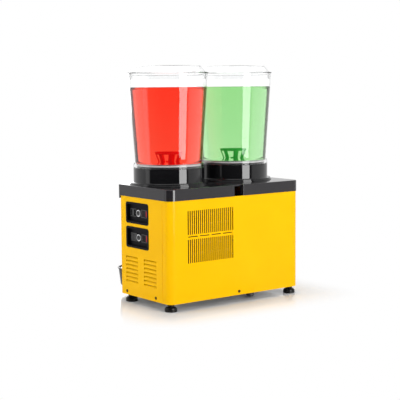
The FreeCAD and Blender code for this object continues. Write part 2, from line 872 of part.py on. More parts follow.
def make_bowl(name):
    """A tapered clear bowl, open below round the cold plate, with a spigot for the tap."""
    foot = "bowl_foot_height"
    step = "bowl_foot_height - bowl_foot_step"
    body = turned(name + "_shell", [("bowl_bore_radius", "0"), ("collar_radius", "0"),
                                    ("collar_radius", step), ("collar_radius - bowl_foot_groove", step),
                                    ("collar_radius - bowl_foot_groove", step + " + 1.4"),
                                    ("collar_radius - 0.8", step + " + 1.4"),
                                    ("collar_radius - 0.8", foot),
                                    ("bowl_base_radius", foot), ("bowl_top_radius", "bowl_height"),
                                    ("bowl_top_radius - bowl_wall", "bowl_height"),
                                    ("bowl_base_radius - bowl_wall", foot),
                                    ("bowl_bore_radius", foot + " - 1")])
    round_rings(body, name + "_foot_round", "1", [("collar_radius - 0.8", foot), ("collar_radius", "0")])
    round_rings(body, name + "_rim_round", "0.9", [("bowl_top_radius", "bowl_height"),
                                                   ("bowl_top_radius - bowl_wall", "bowl_height")])
    far = "-(tap_reach - barrel_radius + tap_seat - seat_gap)"
    near = "-(bowl_bore_radius + bowl_wall / 2 + 0.5)"
    spigot = rod(name + "_spigot", "y", "spigot_radius", far, near, "0", "spigot_height")
    bore = rod(name + "_bore", "y", "spigot_bore", far + " - 1", "-(bowl_bore_radius - 12)", "0",
               "spigot_height")
    shell = plus(name + "_with_spigot", body, spigot)
    return minus(name, shell, bore)


def make_lid(name):
    """A clear lid: a flat top with sloping sides, a rim on the bowl and a plug inside it."""
    inner = "lid_dome_radius - lid_wall"
    lid = turned(name, [("0", "lid_rise"), ("0", "lid_rise - lid_wall"),
                        ("lid_top_radius - lid_wall", "lid_rise - lid_wall"),
                        (inner, "0"), ("lid_plug_radius - lid_wall", "-lid_plug_depth"),
                        ("lid_plug_radius", "-lid_plug_depth"), ("lid_plug_radius + 0.4", "0"),
                        ("lid_rim_radius - 0.8", "0"), ("lid_rim_radius", "0.8"),
                        ("lid_rim_radius", "lid_rim_thick - 0.8"),
                        ("lid_rim_radius - 0.8", "lid_rim_thick"), ("lid_dome_radius", "lid_rim_thick"),
                        ("lid_top_radius", "lid_rise")])
    round_rings(lid, name + "_round", "lid_edge", [("lid_top_radius", "lid_rise")])
    round_rings(lid, name + "_inner_round", "lid_edge - lid_wall",
                [("lid_top_radius - lid_wall", "lid_rise - lid_wall")])
    return lid


def make_stirrer(name):
    """A flared crown of ribs under a ring, on a round base that holds the magnets."""
    bore = "post_radius + running_gap"
    ring_low = "stirrer_height - stirrer_ring_thick"
    body = turned(name + "_crown", [
        (bore, "0"), ("stirrer_base_radius", "0"), ("stirrer_base_radius", "stirrer_base_thick"),
        ("stirrer_crown_radius - 1", ring_low), ("stirrer_crown_radius", ring_low + " + 1"),
        ("stirrer_crown_radius", "stirrer_height - 1"), ("stirrer_crown_radius - 1", "stirrer_height"),
        ("stirrer_crown_radius - stirrer_wall - 1", "stirrer_height"),
        ("stirrer_crown_radius - stirrer_wall - 1", ring_low),
        ("stirrer_base_radius - stirrer_wall", "stirrer_base_thick"),
        ("stirrer_hub_radius", "stirrer_base_thick"),
        ("stirrer_hub_radius - 1.5", "stirrer_hub_height"), (bore, "stirrer_hub_height")])
    near, far = "(stirrer_hub_radius + 3.5)", "(stirrer_crown_radius + 8)"
    spread = "tan(180 / stirrer_ribs)"
    edge = "stirrer_rib_width / 2 / cos(180 / stirrer_ribs)"
    windows = []
    for i in range(int(stirrer_ribs)):
        window = doc.addObject("Part::Wedge", "%s_window_%d" % (name, i))
        for side, radius in (("X", near), ("X2", far)):
            bind(window, side + "max", "%s * %s - %s" % (radius, spread, edge))
            bind(window, side + "min", "%s - %s * %s" % (edge, radius, spread))
        for side in ("Z", "Z2"):
            bind(window, side + "min", "stirrer_base_thick + 1.5")
            bind(window, side + "max", ring_low)
        bind(window, "Ymin", near)
        bind(window, "Ymax", far)
        windows.append(swung("%s_turn_%d" % (name, i), Vector(0, 0, 1),
                             stirrer_turn + 360 * i / stirrer_ribs, window))
    return minus(name, body, *windows)


def make_motor_bridge(name):
    """A strap across the hole in the cover, which carries the motor."""
    half = "bridge_length / 2"
    strap = block(name + "_strap", ("-" + half, half), ("-bridge_width / 2", "bridge_width / 2"),
                  ("-bridge_thick", "0"))
    hole = rod(name + "_hole", "z", "screw_radius", "-bridge_thick - 1", "1", "bridge_width / 3", "0")
    return minus(name, strap, hole)


def make_drive_motor(name):
    case = rod(name + "_case", "z", "motor_radius", "0", "motor_height")
    bore = rod(name + "_bore", "z", "drive_shaft_radius + running_gap", "motor_height / 3",
               "motor_height + 1")
    return minus(name, case, bore)


def make_drive_magnet(name):
    """The magnet disc that the motor turns close under the cold plate."""
    top = "plate_top - plate_wall - magnet_gap - (cover_top - cover_wall)"
    return turned(name, [
        ("0", "motor_height / 2"), ("drive_shaft_radius", "motor_height / 2"),
        ("drive_shaft_radius", "motor_height + seat_gap"),
        ("drive_shaft_radius * 2.5", "motor_height + seat_gap"),
        ("drive_shaft_radius * 2.5", top + " - magnet_thick"), ("magnet_radius", top + " - magnet_thick"),
        ("magnet_radius", top), ("0", top)])


# Taps
def make_tap_barrel(name):
    neck = "barrel_base - spout_length"
    tube = rod(name + "_tube", "z", "barrel_radius", "barrel_base", "barrel_top")
    spout = rod(name + "_spout", "z", "spout_radius", neck, "barrel_base")
    mouth = "spigot_level"
    reach = "tap_reach - (collar_radius + 1)"
    socket = rod(name + "_socket", "y", "spigot_radius + seat_gap + socket_wall", "0", reach, "0", mouth)
    solid = plus(name + "_solid", tube, spout, socket)
    bore = rod(name + "_bore", "z", "barrel_bore", "barrel_base + 3", "barrel_top + 1")
    drain = rod(name + "_drain", "z", "spout_bore", neck + " - 1", "barrel_base + 4")
    seat = rod(name + "_seat", "y", "spigot_radius + seat_gap", "barrel_radius - tap_seat", reach + " + 1",
               "0", mouth)
    port = rod(name + "_port", "y", "spigot_bore", "0", "barrel_radius + 1", "0", mouth)
    return minus(name, solid, bore, drain, seat, port)


def make_tap_cap(name):
    """Screw cap with the two ears that carry the handle's pin."""
    plate = rod(name + "_plate", "z", "barrel_radius + 1.5", "0", "cap_thick")
    plug = rod(name + "_plug", "z", "barrel_bore - 0.1", "-cap_skirt", "0")
    solids = [plate, plug]
    for index, inner in enumerate(("ear_half_gap", "-ear_half_gap - ear_thick")):
        low = "-pivot_forward - lever_hub_radius"
        ear = block("%s_ear_%d" % (name, index), (inner, inner + " + ear_thick"), (low, "6"),
                    ("cap_thick - 1", "cap_thick + pivot_rise"))
        knuckle = rod("%s_knuckle_%d" % (name, index), "x", "lever_hub_radius", inner, inner + " + ear_thick",
                      "-pivot_forward", "cap_thick + pivot_rise")
        solids += [ear, knuckle]
    hollow = rod(name + "_hollow", "z", "spring_radius + 2 * spring_wire", "-cap_skirt - 1", "0")
    guide = rod(name + "_guide", "z", "plunger_rod + running_gap", "-1", "cap_thick + 1")
    hole = rod(name + "_hole", "x", "pin_radius + running_gap", "-20", "20", "-pivot_forward",
               "cap_thick + pivot_rise")
    return minus(name, plus(name + "_solid", *solids), hollow, guide, hole)


def make_tap_pin(name):
    half = "ear_half_gap + ear_thick"
    shaft = rod(name + "_shaft", "x", "pin_radius", "-(%s)" % half, half)
    head = rod(name + "_head", "x", "pin_radius + 1.5", half, half + " + 1.5")
    clip = rod(name + "_clip", "x", "pin_radius + 1.5", "-(%s) - 1.5" % half, "-(%s)" % half)
    return plus(name, shaft, head, clip)


def make_plunger(name):
    """Valve plunger: a seal head on a rod, with a flat tang and cross pin on top."""
    base = "barrel_base + 3 + seat_gap"
    pin_level = "cap_top + pivot_rise"
    head = rod(name + "_head", "z", "plunger_radius", base, base + " + plunger_head")
    stem = rod(name + "_stem", "z", "plunger_rod", base + " + 1", pin_level + " - cross_pin_radius - 6.5")
    tang = block(name + "_tang", ("-tang_thick / 2", "tang_thick / 2"),
                 ("-plunger_rod * 0.7", "plunger_rod * 0.7"),
                 (pin_level + " - cross_pin_radius - 7.5", pin_level + " + cross_pin_radius + 1"))
    cross = rod(name + "_cross", "x", "cross_pin_radius", "-lever_width / 2", "lever_width / 2", "0",
                pin_level)
    return plus(name, head, stem, tang, cross)


def make_tap_lever(name):
    """Pull handle: pulled forward and down, its fork lifts the plunger's cross pin."""
    half = "lever_width / 2"
    hub = rod(name + "_hub", "x", "lever_hub_radius", "-" + half, half)
    arm = block(name + "_arm", ("-" + half, half), ("0", "pivot_forward + 5"), ("-4.5", "4.5"))
    grip = block(name + "_grip", ("-handle_width / 2", "handle_width / 2"),
                 ("-handle_thick / 2", "handle_thick / 2"),
                 ("12", "handle_length"))
    tip = rod(name + "_tip", "y", "handle_width / 2", "-handle_thick / 2", "handle_thick / 2", "0",
              "handle_length")
    neck = block(name + "_neck", ("-" + half, half), ("-handle_thick / 2", "handle_thick / 2"), ("0", "14"))
    solid = plus(name + "_solid", hub, arm, grip, tip, neck)
    bore = rod(name + "_bore", "x", "pin_radius + running_gap", "-20", "20")
    fork = block(name + "_fork", ("-tang_thick / 2 - seat_gap", "tang_thick / 2 + seat_gap"),
                 ("pivot_forward - 5.2", "pivot_forward + 12"), ("-10", "10"))
    slot = block(name + "_slot", ("-20", "20"), ("pivot_forward - 3.4", "pivot_forward + 12"),
                 ("-cross_pin_radius - slot_clearance", "cross_pin_radius + slot_clearance"))
    return minus(name, solid, bore, fork, slot)


def biarc(start, along_start, end, along_end):
    """Two arcs that join two points with the given directions, as edges."""
    gap = end - start
    total = along_start + along_end
    spread = 2 * (1 - along_start.dot(along_end))
    reach = (-gap.dot(total) + math.sqrt(gap.dot(total) ** 2 + spread * gap.dot(gap))) / spread
    first_knee = start + along_start * reach
    second_knee = end - along_end * reach
    joint = (first_knee + second_knee) * 0.5
    edges = []
    for a, knee, b in ((start, first_knee, joint), (joint, second_knee, end)):
        cosine = (b - a).Length / 2 / reach
        middle = (a + b) * 0.5
        edges.append(Part.Arc(a, middle + (knee - middle) * (cosine / (1 + cosine)), b).toShape())
    return edges


def make_tap_spring(name):
    """A closing spring round the plunger's rod, one unbroken wire."""
    low = barrel_base + 3 + seat_gap + plunger_head + spring_wire + 0.1
    high = barrel_top - spring_wire - 0.1
    radius, quarters = spring_radius, int(spring_turns) * 4
    step = math.pi / 2
    rise = (high - low) / quarters

    def point(i):
        return Vector(radius * math.cos(i * step), radius * math.sin(i * step), low + i * rise)

    def along(i):
        return Vector(-radius * step * math.sin(i * step), radius * step * math.cos(i * step),
                      rise).normalize()

    edges = []
    for i in range(quarters):
        edges += biarc(point(i), along(i), point(i + 1), along(i + 1))
    path = Part.Wire(edges)
    section = Part.Wire([Part.Circle(point(0), along(0), spring_wire).toShape()])
    wire = path.makePipeShell([section], True, False)
    spring = doc.addObject("Part::Feature", name + "_wire")
    spring.Shape = wire
    gap = rise * 4 - 2 * spring_wire
    print("%s: %d turns, least gap between turns %.2f mm" % (name, spring_turns, gap))
    return spring


# Drip trays
def tray_plan(drawing, inset, back):
    """A tray's outline: a half round in front and straight sides to the back."""
    radius = "(tray_radius - (%s))" % inset
    r, rear = number(radius), number(back)
    arc = Part.ArcOfCircle(Part.Circle(Vector(), Vector(0, 0, 1), r), math.pi, 2 * math.pi)
    first = len(drawing.Geometry)
    drawing.addGeometry(arc, False)
    for a, b in ((Vector(r, 0, 0), Vector(r, rear, 0)), (Vector(r, rear, 0), Vector(-r, rear, 0)),
                 (Vector(-r, rear, 0), Vector(-r, 0, 0))):
        drawing.addGeometry(Part.LineSegment(a, b), False)
    join = drawing.addConstraint
    join(Sketcher.Constraint("Coincident", first, 3, -1, 1))
    join(Sketcher.Constraint("Tangent", first, 2, first + 1, 1))
    join(Sketcher.Constraint("Tangent", first + 3, 2, first, 1))
    join(Sketcher.Constraint("Vertical", first + 1))
    join(Sketcher.Constraint("Horizontal", first + 2))
    join(Sketcher.Constraint("Coincident", first + 1, 2, first + 2, 1))
    join(Sketcher.Constraint("Coincident", first + 2, 2, first + 3, 1))
    pin(drawing, "DistanceY", first + 2, 1, back)
    index = join(Sketcher.Constraint("Radius", first, r))
    bind(drawing, "Constraints[%d]" % index, radius)


def make_drip_tray(name):
    """A tapered tub with a rim, a ledge for its grid and a lip that hooks on the front."""
    body = new_body(name)
    back = "tray_forward - tray_back"
    base_inset = "tray_rim + tray_draft"
    low = sketch_on(body, name + "_low", "XY_Plane")
    tray_plan(low, base_inset, back)
    high = sketch_on(body, name + "_high", "XY_Plane", "tray_height")
    tray_plan(high, "tray_rim", back)
    tub = body.newObject("PartDesign::AdditiveLoft", name + "_tub")
    tub.Profile = low
    tub.Sections = [high]
    tub.Ruled = True
    rim = sketch_on(body, name + "_rim", "XY_Plane", "tray_height - tray_rim_thick")
    tray_plan(rim, "0", back)
    pad(body, name + "_rim_pad", rim, "tray_rim_thick")
    flange = sketch_on(body, name + "_flange", "XY_Plane", "tray_height - tray_rim_thick")
    lip_front = back + " + 2 * hook_play + hook_thick"
    lip_back = lip_front + " + hook_thick"
    half = "hook_width / 2"
    rectangle(flange, ("-" + half, half), (back + " - 1", lip_back))
    pad(body, name + "_flange_pad", flange, "tray_rim_thick")
    lip = sketch_on(body, name + "_lip", "XY_Plane", "tray_height - tray_rim_thick - hook_drop")
    rectangle(lip, ("-" + half, half), (lip_front, lip_back))
    pad(body, name + "_lip_pad", lip, "hook_drop + 1")
    inner_low = sketch_on(body, name + "_inner_low", "XY_Plane", "tray_wall")
    tray_plan(inner_low, base_inset + " + tray_wall", back + " - tray_wall")
    inner_high = sketch_on(body, name + "_inner_high", "XY_Plane", "tray_height - tray_ledge_drop + 0.1")
    tray_plan(inner_high, "tray_rim + tray_wall + tray_ledge_width", back + " - tray_wall - tray_ledge_width")
    well = body.newObject("PartDesign::SubtractiveLoft", name + "_well")
    well.Profile = inner_low
    well.Sections = [inner_high]
    well.Ruled = True
    mouth = sketch_on(body, name + "_mouth", "XY_Plane", "tray_height - tray_ledge_drop")
    tray_plan(mouth, "tray_rim + tray_wall", back + " - tray_wall")
    pocket(body, name + "_mouth_cut", mouth, "tray_ledge_drop + 1", reverse=True)
    round_tray_base(body, name)
    return body


def round_tray_base(body, name):
    """Round the tub's outer bottom edge."""
    doc.recompute()
    tip = body.Tip
    found = []
    for i, edge in enumerate(tip.Shape.Edges):
        if edge.BoundBox.ZMax < 0.01:
            found.append("Edge%d" % (i + 1))
    fillet = body.newObject("PartDesign::Fillet", name + "_base_round")
    fillet.Base = (tip, found)
    bind(fillet, "Radius", "tray_edge")


def make_drip_grid(name):
    """A slotted plate that lies on the tray's ledge."""
    body = new_body(name)
    plan = sketch_on(body, name + "_plan", "XY_Plane")
    inset = "tray_rim + tray_wall + grid_gap"
    back = "tray_forward - tray_back - tray_wall - grid_gap"
    tray_plan(plan, inset, back)
    pad(body, name + "_plate", plan, "grid_thick")
    half = int((tray_radius - tray_rim - tray_wall - grid_border) / grid_pitch)
    slots = sketch_on(body, name + "_slots", "XY_Plane", "-1")
    for i in range(-half, half + 1):
        x = i * grid_pitch
        limit = tray_radius - tray_rim - tray_wall - grid_border
        front = "-sqrt((tray_radius - tray_rim - tray_wall - grid_border) ^ 2 - (%d * grid_pitch) ^ 2)" % i
        if limit <= abs(x) + grid_slot / 2:
            continue
        rectangle(slots, ("%d * grid_pitch - grid_slot / 2" % i, "%d * grid_pitch + grid_slot / 2" % i),
                  (front, back + " - grid_border"))
    pocket(body, name + "_slot_cut", slots, "grid_thick + 2", reverse=True)
    return body


def make_tray_hooks():
    """Two angle brackets on the front panel, each with an upturned lip for a tray."""
    hooks = []
    for side, sign in SIDES:
        half = "hook_width / 2 - 1"
        x = ("%d * bowl_x - (%s)" % (sign, half), "%d * bowl_x + %s" % (sign, half))
        lip_back = "-(tray_back - hook_play - hook_thick)"
        top = "tray_top - tray_rim_thick - sheet_gap"
        floor = "tray_top - tray_rim_thick - hook_drop - 5"
        shelf = block("hook_shelf_" + side, x, (lip_back + " - hook_thick", "0"),
                      (floor + " - hook_thick", floor))
        lip = block("hook_lip_" + side, x, (lip_back + " - hook_thick", lip_back),
                    (floor + " - hook_thick", top))
        plate = block("hook_plate_" + side, x, ("-hook_thick", "0"), (floor + " - hook_thick - 14", floor))
        hooks.append(plus("tray_hook_" + side, shelf, lip, plate))
    finish("tray_hooks", group("tray_hooks_group", *hooks), y="front_y")


# Controls on the end wall
def level_of(step):
    return "pocket_level - %d * pocket_pitch" % step


def make_control_pocket(label, step):
    """A recessed frame: lip on the wall, side walls and a floor with its holes."""
    name = "control_pocket_" + label
    body = new_body(name)
    wide, tall = "pocket_width / 2", "pocket_height / 2"
    lip = sketch_on(body, name + "_lip", "YZ_Plane")
    rectangle(lip, ("-" + wide, wide), ("-" + tall, tall), "pocket_corner")
    pad(body, name + "_lip_pad", lip, "pocket_lip_thick")
    inset = "pocket_lip + sheet_gap"
    box = sketch_on(body, name + "_box", "YZ_Plane", "-pocket_depth - pocket_wall")
    rectangle(box, ("%s - %s" % (inset, wide), "%s - (%s)" % (wide, inset)),
              ("%s - %s" % (inset, tall), "%s - (%s)" % (tall, inset)),
              "pocket_corner - pocket_lip / 2 - sheet_gap")
    pad(body, name + "_box_pad", box, "pocket_depth + pocket_wall")
    inner = "pocket_lip + sheet_gap + pocket_wall"
    well = sketch_on(body, name + "_well", "YZ_Plane", "-pocket_depth")
    rectangle(well, ("%s - %s" % (inner, wide), "%s - (%s)" % (wide, inner)),
              ("%s - %s" % (inner, tall), "%s - (%s)" % (tall, inner)), "pocket_corner - pocket_lip")
    pocket(body, name + "_well_cut", well, "pocket_depth + pocket_lip_thick + 1", reverse=True)
    holes = sketch_on(body, name + "_holes", "YZ_Plane", "-pocket_depth - pocket_wall - 1")
    circle(holes, "0", "0", "dial_shaft + running_gap")
    for way in (-1, 1):
        middle = "%d * rocker_offset" % way
        rectangle(holes, (middle + " - rocker_body_width / 2 - sheet_gap",
                          middle + " + rocker_body_width / 2 + sheet_gap"),
                  ("-rocker_body_height / 2 - sheet_gap", "rocker_body_height / 2 + sheet_gap"))
    pocket(body, name + "_hole_cut", holes, "pocket_wall + 2", reverse=True)
    return place(body, z=level_of(step))


def make_dial_rings():
    """Bright rings round the two thermostat dials, and the stops they are read against."""
    rings = []
    for label, step in LEVELS:
        outer = rod("dial_ring_outer_" + label, "x", "dial_ring_radius", "0", "dial_ring_depth", "0",
                    level_of(step))
        inner = rod("dial_ring_inner_" + label, "x", "dial_radius + seat_gap", "-1", "dial_ring_depth + 1",
                    "0", level_of(step))
        rings.append(minus("dial_ring_" + label, outer, inner))
    finish("dial_rings", group("dial_rings_group", *rings), "case_length / 2 - pocket_depth",
           "mid_y - pocket_forward")


def make_dial(label, step):
    """A thermostat dial with a pointer groove, on its shaft."""
    name = "thermostat_dial_" + label
    face = "dial_ring_depth + dial_proud"
    disc = rod(name + "_disc", "x", "dial_radius", "seat_gap", face)
    shaft = rod(name + "_shaft", "x", "dial_shaft", "-pocket_wall - 8", "seat_gap + 1")
    groove = block(name + "_groove", (face + " - 1", face + " + 1"), ("-0.9", "0.9"),
                   ("1", "dial_radius + 1"))
    dial = minus(name, plus(name + "_solid", disc, shaft), groove)
    finish(name, dial, "case_length / 2 - pocket_depth", "mid_y - pocket_forward", level_of(step))


def make_thermostats():
    """The two thermostats behind the dials."""
    boxes = []
    for label, step in LEVELS:
        half = "thermostat_side / 2"
        level = level_of(step)
        case = block("thermostat_case_" + label, ("-pocket_wall - seat_gap - thermostat_depth",
                                                  "-pocket_wall - seat_gap"),
                     ("-8", "8"), (level + " - " + half, level + " + " + half))
        bore = rod("thermostat_bore_" + label, "x", "dial_shaft + running_gap", "-pocket_wall - 9", "1", "0",
                   level)
        boxes.append(minus("thermostat_" + label, case, bore))
    finish("thermostats", group("thermostats_group", *boxes), "case_length / 2 - pocket_depth",
           "mid_y - pocket_forward")


def make_switch_bodies():
    """The four rocker switches' frames and bodies, set in the pocket floors."""
    bodies = []
    for label, step in LEVELS:
        for way in (-1, 1):
            name = "switch_%s_%d" % (label, way + 1)
            spot = "%d * rocker_offset" % way
            level = level_of(step)

            def span(size, middle):
                return ("%s - (%s) / 2" % (middle, size), "%s + (%s) / 2" % (middle, size))

            frame = block(name + "_frame", ("0", "rocker_frame_thick"), span("rocker_frame_width", spot),
                          span("rocker_frame_height", level))
            case = block(name + "_case", ("-rocker_body_depth", "0"), span("rocker_body_width", spot),
                         span("rocker_body_height", level))
            cavity = block(name + "_cavity", ("-rocker_radius - 6", "rocker_frame_thick + 1"),
                           span("2 * (rocker_radius + seat_gap)", spot),
                           span("rocker_width + 2 * seat_gap", level))
            bodies.append(minus(name, plus(name + "_solid", frame, case), cavity))
    finish("switch_bodies", group("switch_bodies_group", *bodies), "case_length / 2 - pocket_depth",
           "mid_y - pocket_forward")


def make_rocker(name, step, way, lean):
    """A rocker with two shallow facets, tilted to its rest position."""
    drum = rod(name + "_drum", "z", "rocker_radius", "-rocker_width / 2", "rocker_width / 2")
    slope = math.degrees(math.atan2(rocker_end_rise - rocker_dip, rocker_radius))
    cutters = []
    for end in (-1, 1):
        facet = block("%s_facet_%d" % (name, end + 1), ("0", "20"), ("-20", "0") if end < 0 else ("0", "20"),
                      ("-rocker_width / 2 - 1", "rocker_width / 2 + 1"))
        cutters.append(swung("%s_cutter_%d" % (name, end + 1), Vector(0, 0, 1), -end * slope, facet,
                             Vector(rocker_dip, 0, 0)))
    rocker = minus(name, drum, *cutters)
    rocker.Placement = Placement(Vector(), Rotation(Vector(0, 0, 1), lean * rocker_tilt))
    finish(name, rocker, "case_length / 2 - pocket_depth + rocker_frame_thick - rocker_end_rise",
           "mid_y - pocket_forward + %d * rocker_offset" % way, level_of(step))


# Cooling machinery
def make_compressor():
    """A hermetic compressor: a domed steel shell with a welded seam on a foot plate."""
    low = "rubber_height + compressor_plate"
    wide, high = "compressor_radius", "rubber_height + compressor_plate + compressor_height"
    seam = low + " + compressor_height / 2"
    body = turned("compressor_shell", [
        ("0", low), (wide + " - 14", low), (wide, low + " + 14"), (wide, seam),
        (wide + " + compressor_seam", seam), (wide + " + compressor_seam", seam + " + compressor_seam"),
        (wide, seam + " + compressor_seam"), (wide, high + " - compressor_dome"),
        (wide + " - 20", high + " - 5"), ("0", high)])
    x, y = "compressor_foot_x + 12", "compressor_foot_y + 12"
    plate = block("compressor_foot_plate", ("-(%s)" % x, x), ("-(%s)" % y, y), ("rubber_height", low))
    terminals = block("compressor_terminals", (wide + " - 8", wide + " + 16"), ("-22", "22"),
                      (low + " + 40", low + " + 90"))
    stubs = [rod(way + "_stub", "z", "pipe_radius + 1.5", high + " - 10", high + " + stub_rise", way + "_x",
                 way + "_y")
             for way in ("discharge", "suction")]
    shell = plus("compressor_joined", body, plate, terminals, *stubs)
    finish("compressor", shell, "compressor_x", "mid_y", "foot_height + sheet")
    mounts = []
    for i in (-1, 1):
        for j in (-1, 1):
            mounts.append(rod("rubber_%d_%d" % (i + 1, j + 1), "z", "rubber_radius", "0", "rubber_height",
                              "%d * compressor_foot_x" % i, "%d * compressor_foot_y" % j))
    finish("rubber_mounts", group("rubber_mounts_group", *mounts), "compressor_x", "mid_y",
           "foot_height + sheet")


def make_condenser():
    """A finned tube block on two side plates that stand on the floor pan."""
    body = new_body("condenser")
    depth, tall = "condenser_depth", "condenser_height"
    base = "condenser_base - foot_height - sheet"
    fins = sketch_on(body, "fin_outline", "YZ_Plane", "fin_pitch")
    rectangle(fins, ("-" + depth, "0"), (base, base + " + " + tall))
    fin = pad(body, "fin_pad", fins, "fin_thick")
    tubes = sketch_on(body, "tube_outline", "YZ_Plane")
    for row in range(int(tube_rows)):
        for column in (1, 3):
            circle(tubes, "-%s * %d / 4" % (depth, column),
                   base + " + tube_pitch * %d + tube_pitch / 2" % row, "condenser_tube")
    row_of(body, "fin_row", [fin], fins, "N_Axis", "fin_pitch", "fin_count")
    pad(body, "tube_pad", tubes, "condenser_length")
    plates = sketch_on(body, "side_plate_outline", "YZ_Plane")
    rectangle(plates, ("-" + depth, "0"), ("0", base + " + " + tall))
    pad(body, "side_plate_pad", plates, "side_plate")
    far = sketch_on(body, "far_plate_outline", "YZ_Plane", "condenser_length - side_plate")
    rectangle(far, ("-" + depth, "0"), ("0", base + " + " + tall))
    pad(body, "far_plate_pad", far, "side_plate")
    finish("condenser", body, "condenser_start", "mid_y + case_depth / 2 - sheet - condenser_back",
           "foot_height + sheet")


def make_fan():
    """Shroud, motor and bladed wheel in front of the condenser."""
    half, tall = "condenser_length / 2", "condenser_height / 2"
    x, z = "condenser_start + condenser_length / 2", "condenser_base + condenser_height / 2"
    y = "mid_y + case_depth / 2 - sheet - condenser_back - condenser_depth"
    inner = "fan_radius + fan_gap"
    ring_deep = "fan_depth + 6"
    plate = block("shroud_plate", ("-" + half, half), ("-shroud_thick", "0"), ("-" + tall, tall))
    ring = rod("shroud_ring", "y", inner + " + shroud_thick", "-(%s)" % ring_deep, "-shroud_thick / 2")
    hole = rod("shroud_hole", "y", inner, "-60", "1")
    arms = [block("shroud_arm_x", ("-(%s) - 1" % inner, inner + " + 1"),
                  ("-(%s) - shroud_thick" % ring_deep, "-(%s)" % ring_deep), ("-5", "5")),
            block("shroud_arm_z", ("-5", "5"), ("-(%s) - shroud_thick" % ring_deep, "-(%s)" % ring_deep),
                  ("-(%s) - 1" % inner, inner + " + 1")),
            rod("shroud_disc", "y", "fan_motor_radius", "-(%s) - shroud_thick" % ring_deep,
                "-(%s)" % ring_deep)]
    rim = minus("shroud_open", plus("shroud_solid", plate, ring), hole)
    eye = rod("shroud_eye", "y", "drive_shaft_radius + 2", "-60", "1")
    finish("fan_shroud", minus("fan_shroud_eye", plus("fan_shroud_all", rim, *arms), eye), x, y, z)
    back = "-(%s) - shroud_thick" % ring_deep
    case = rod("fan_motor_case", "y", "fan_motor_radius", back + " - fan_motor_length", back)
    bore = rod("fan_motor_bore", "y", "drive_shaft_radius + running_gap", back + " - fan_motor_length / 2",
               back + " + 1")
    finish("fan_motor", minus("fan_motor_solid", case, bore), x, y, z)
    hub = rod("fan_hub_disc", "y", "fan_hub", "-fan_depth - 2", "-4")
    shaft = rod("fan_shaft", "y", "drive_shaft_radius", back + " - fan_motor_length / 2 + 2", "-5")
    blades = []
    for i in range(int(fan_blades)):
        blade = block("fan_blade_%d" % i, ("fan_hub - 3", "fan_radius"),
                      ("-fan_blade_thick / 2", "fan_blade_thick / 2"),
                      ("-fan_blade_width / 2", "fan_blade_width / 2"))
        pitched = swung("fan_blade_pitch_%d" % i, Vector(1, 0, 0), fan_blade_angle, blade)
        spot = Vector(0, -number("fan_depth / 2 + 3"), 0)
        blades.append(swung("fan_blade_turn_%d" % i, Vector(0, 1, 0), 360 * i / fan_blades, pitched, spot))
    wheel = plus("fan_wheel_solid", hub, shaft, *blades)
    rim_limit = rod("fan_limit", "y", "fan_radius", "-60", "0")
    trimmed = doc.addObject("Part::Common", "fan_wheel")
    trimmed.Base = wheel
    trimmed.Tool = rim_limit
    finish("fan_wheel", trimmed, x, y, z)


def tube(points, radius, bend):
    """A round tube along straight runs joined by arcs of one bend radius."""
    edges = []
    start = points[0]
    for before, corner, after in zip(points, points[1:], points[2:]):
        arriving = (corner - before).normalize()
        leaving = (after - corner).normalize()
        half_turn = arriving.getAngle(leaving) / 2
        back = bend * math.tan(half_turn)
        arc_start, arc_end = corner - arriving * back, corner + leaving * back
        inward = (leaving - arriving).normalize()
        middle = corner + inward * (bend / math.cos(half_turn) - bend)
        edges.append(Part.LineSegment(start, arc_start).toShape())
        edges.append(Part.Arc(arc_start, middle, arc_end).toShape())
        start = arc_end
    edges.append(Part.LineSegment(start, points[-1]).toShape())
    path = Part.Wire(edges)
    section = Part.Wire([Part.Circle(points[0], points[1] - points[0], radius).toShape()])
    return path.makePipeShell([section], True, False)


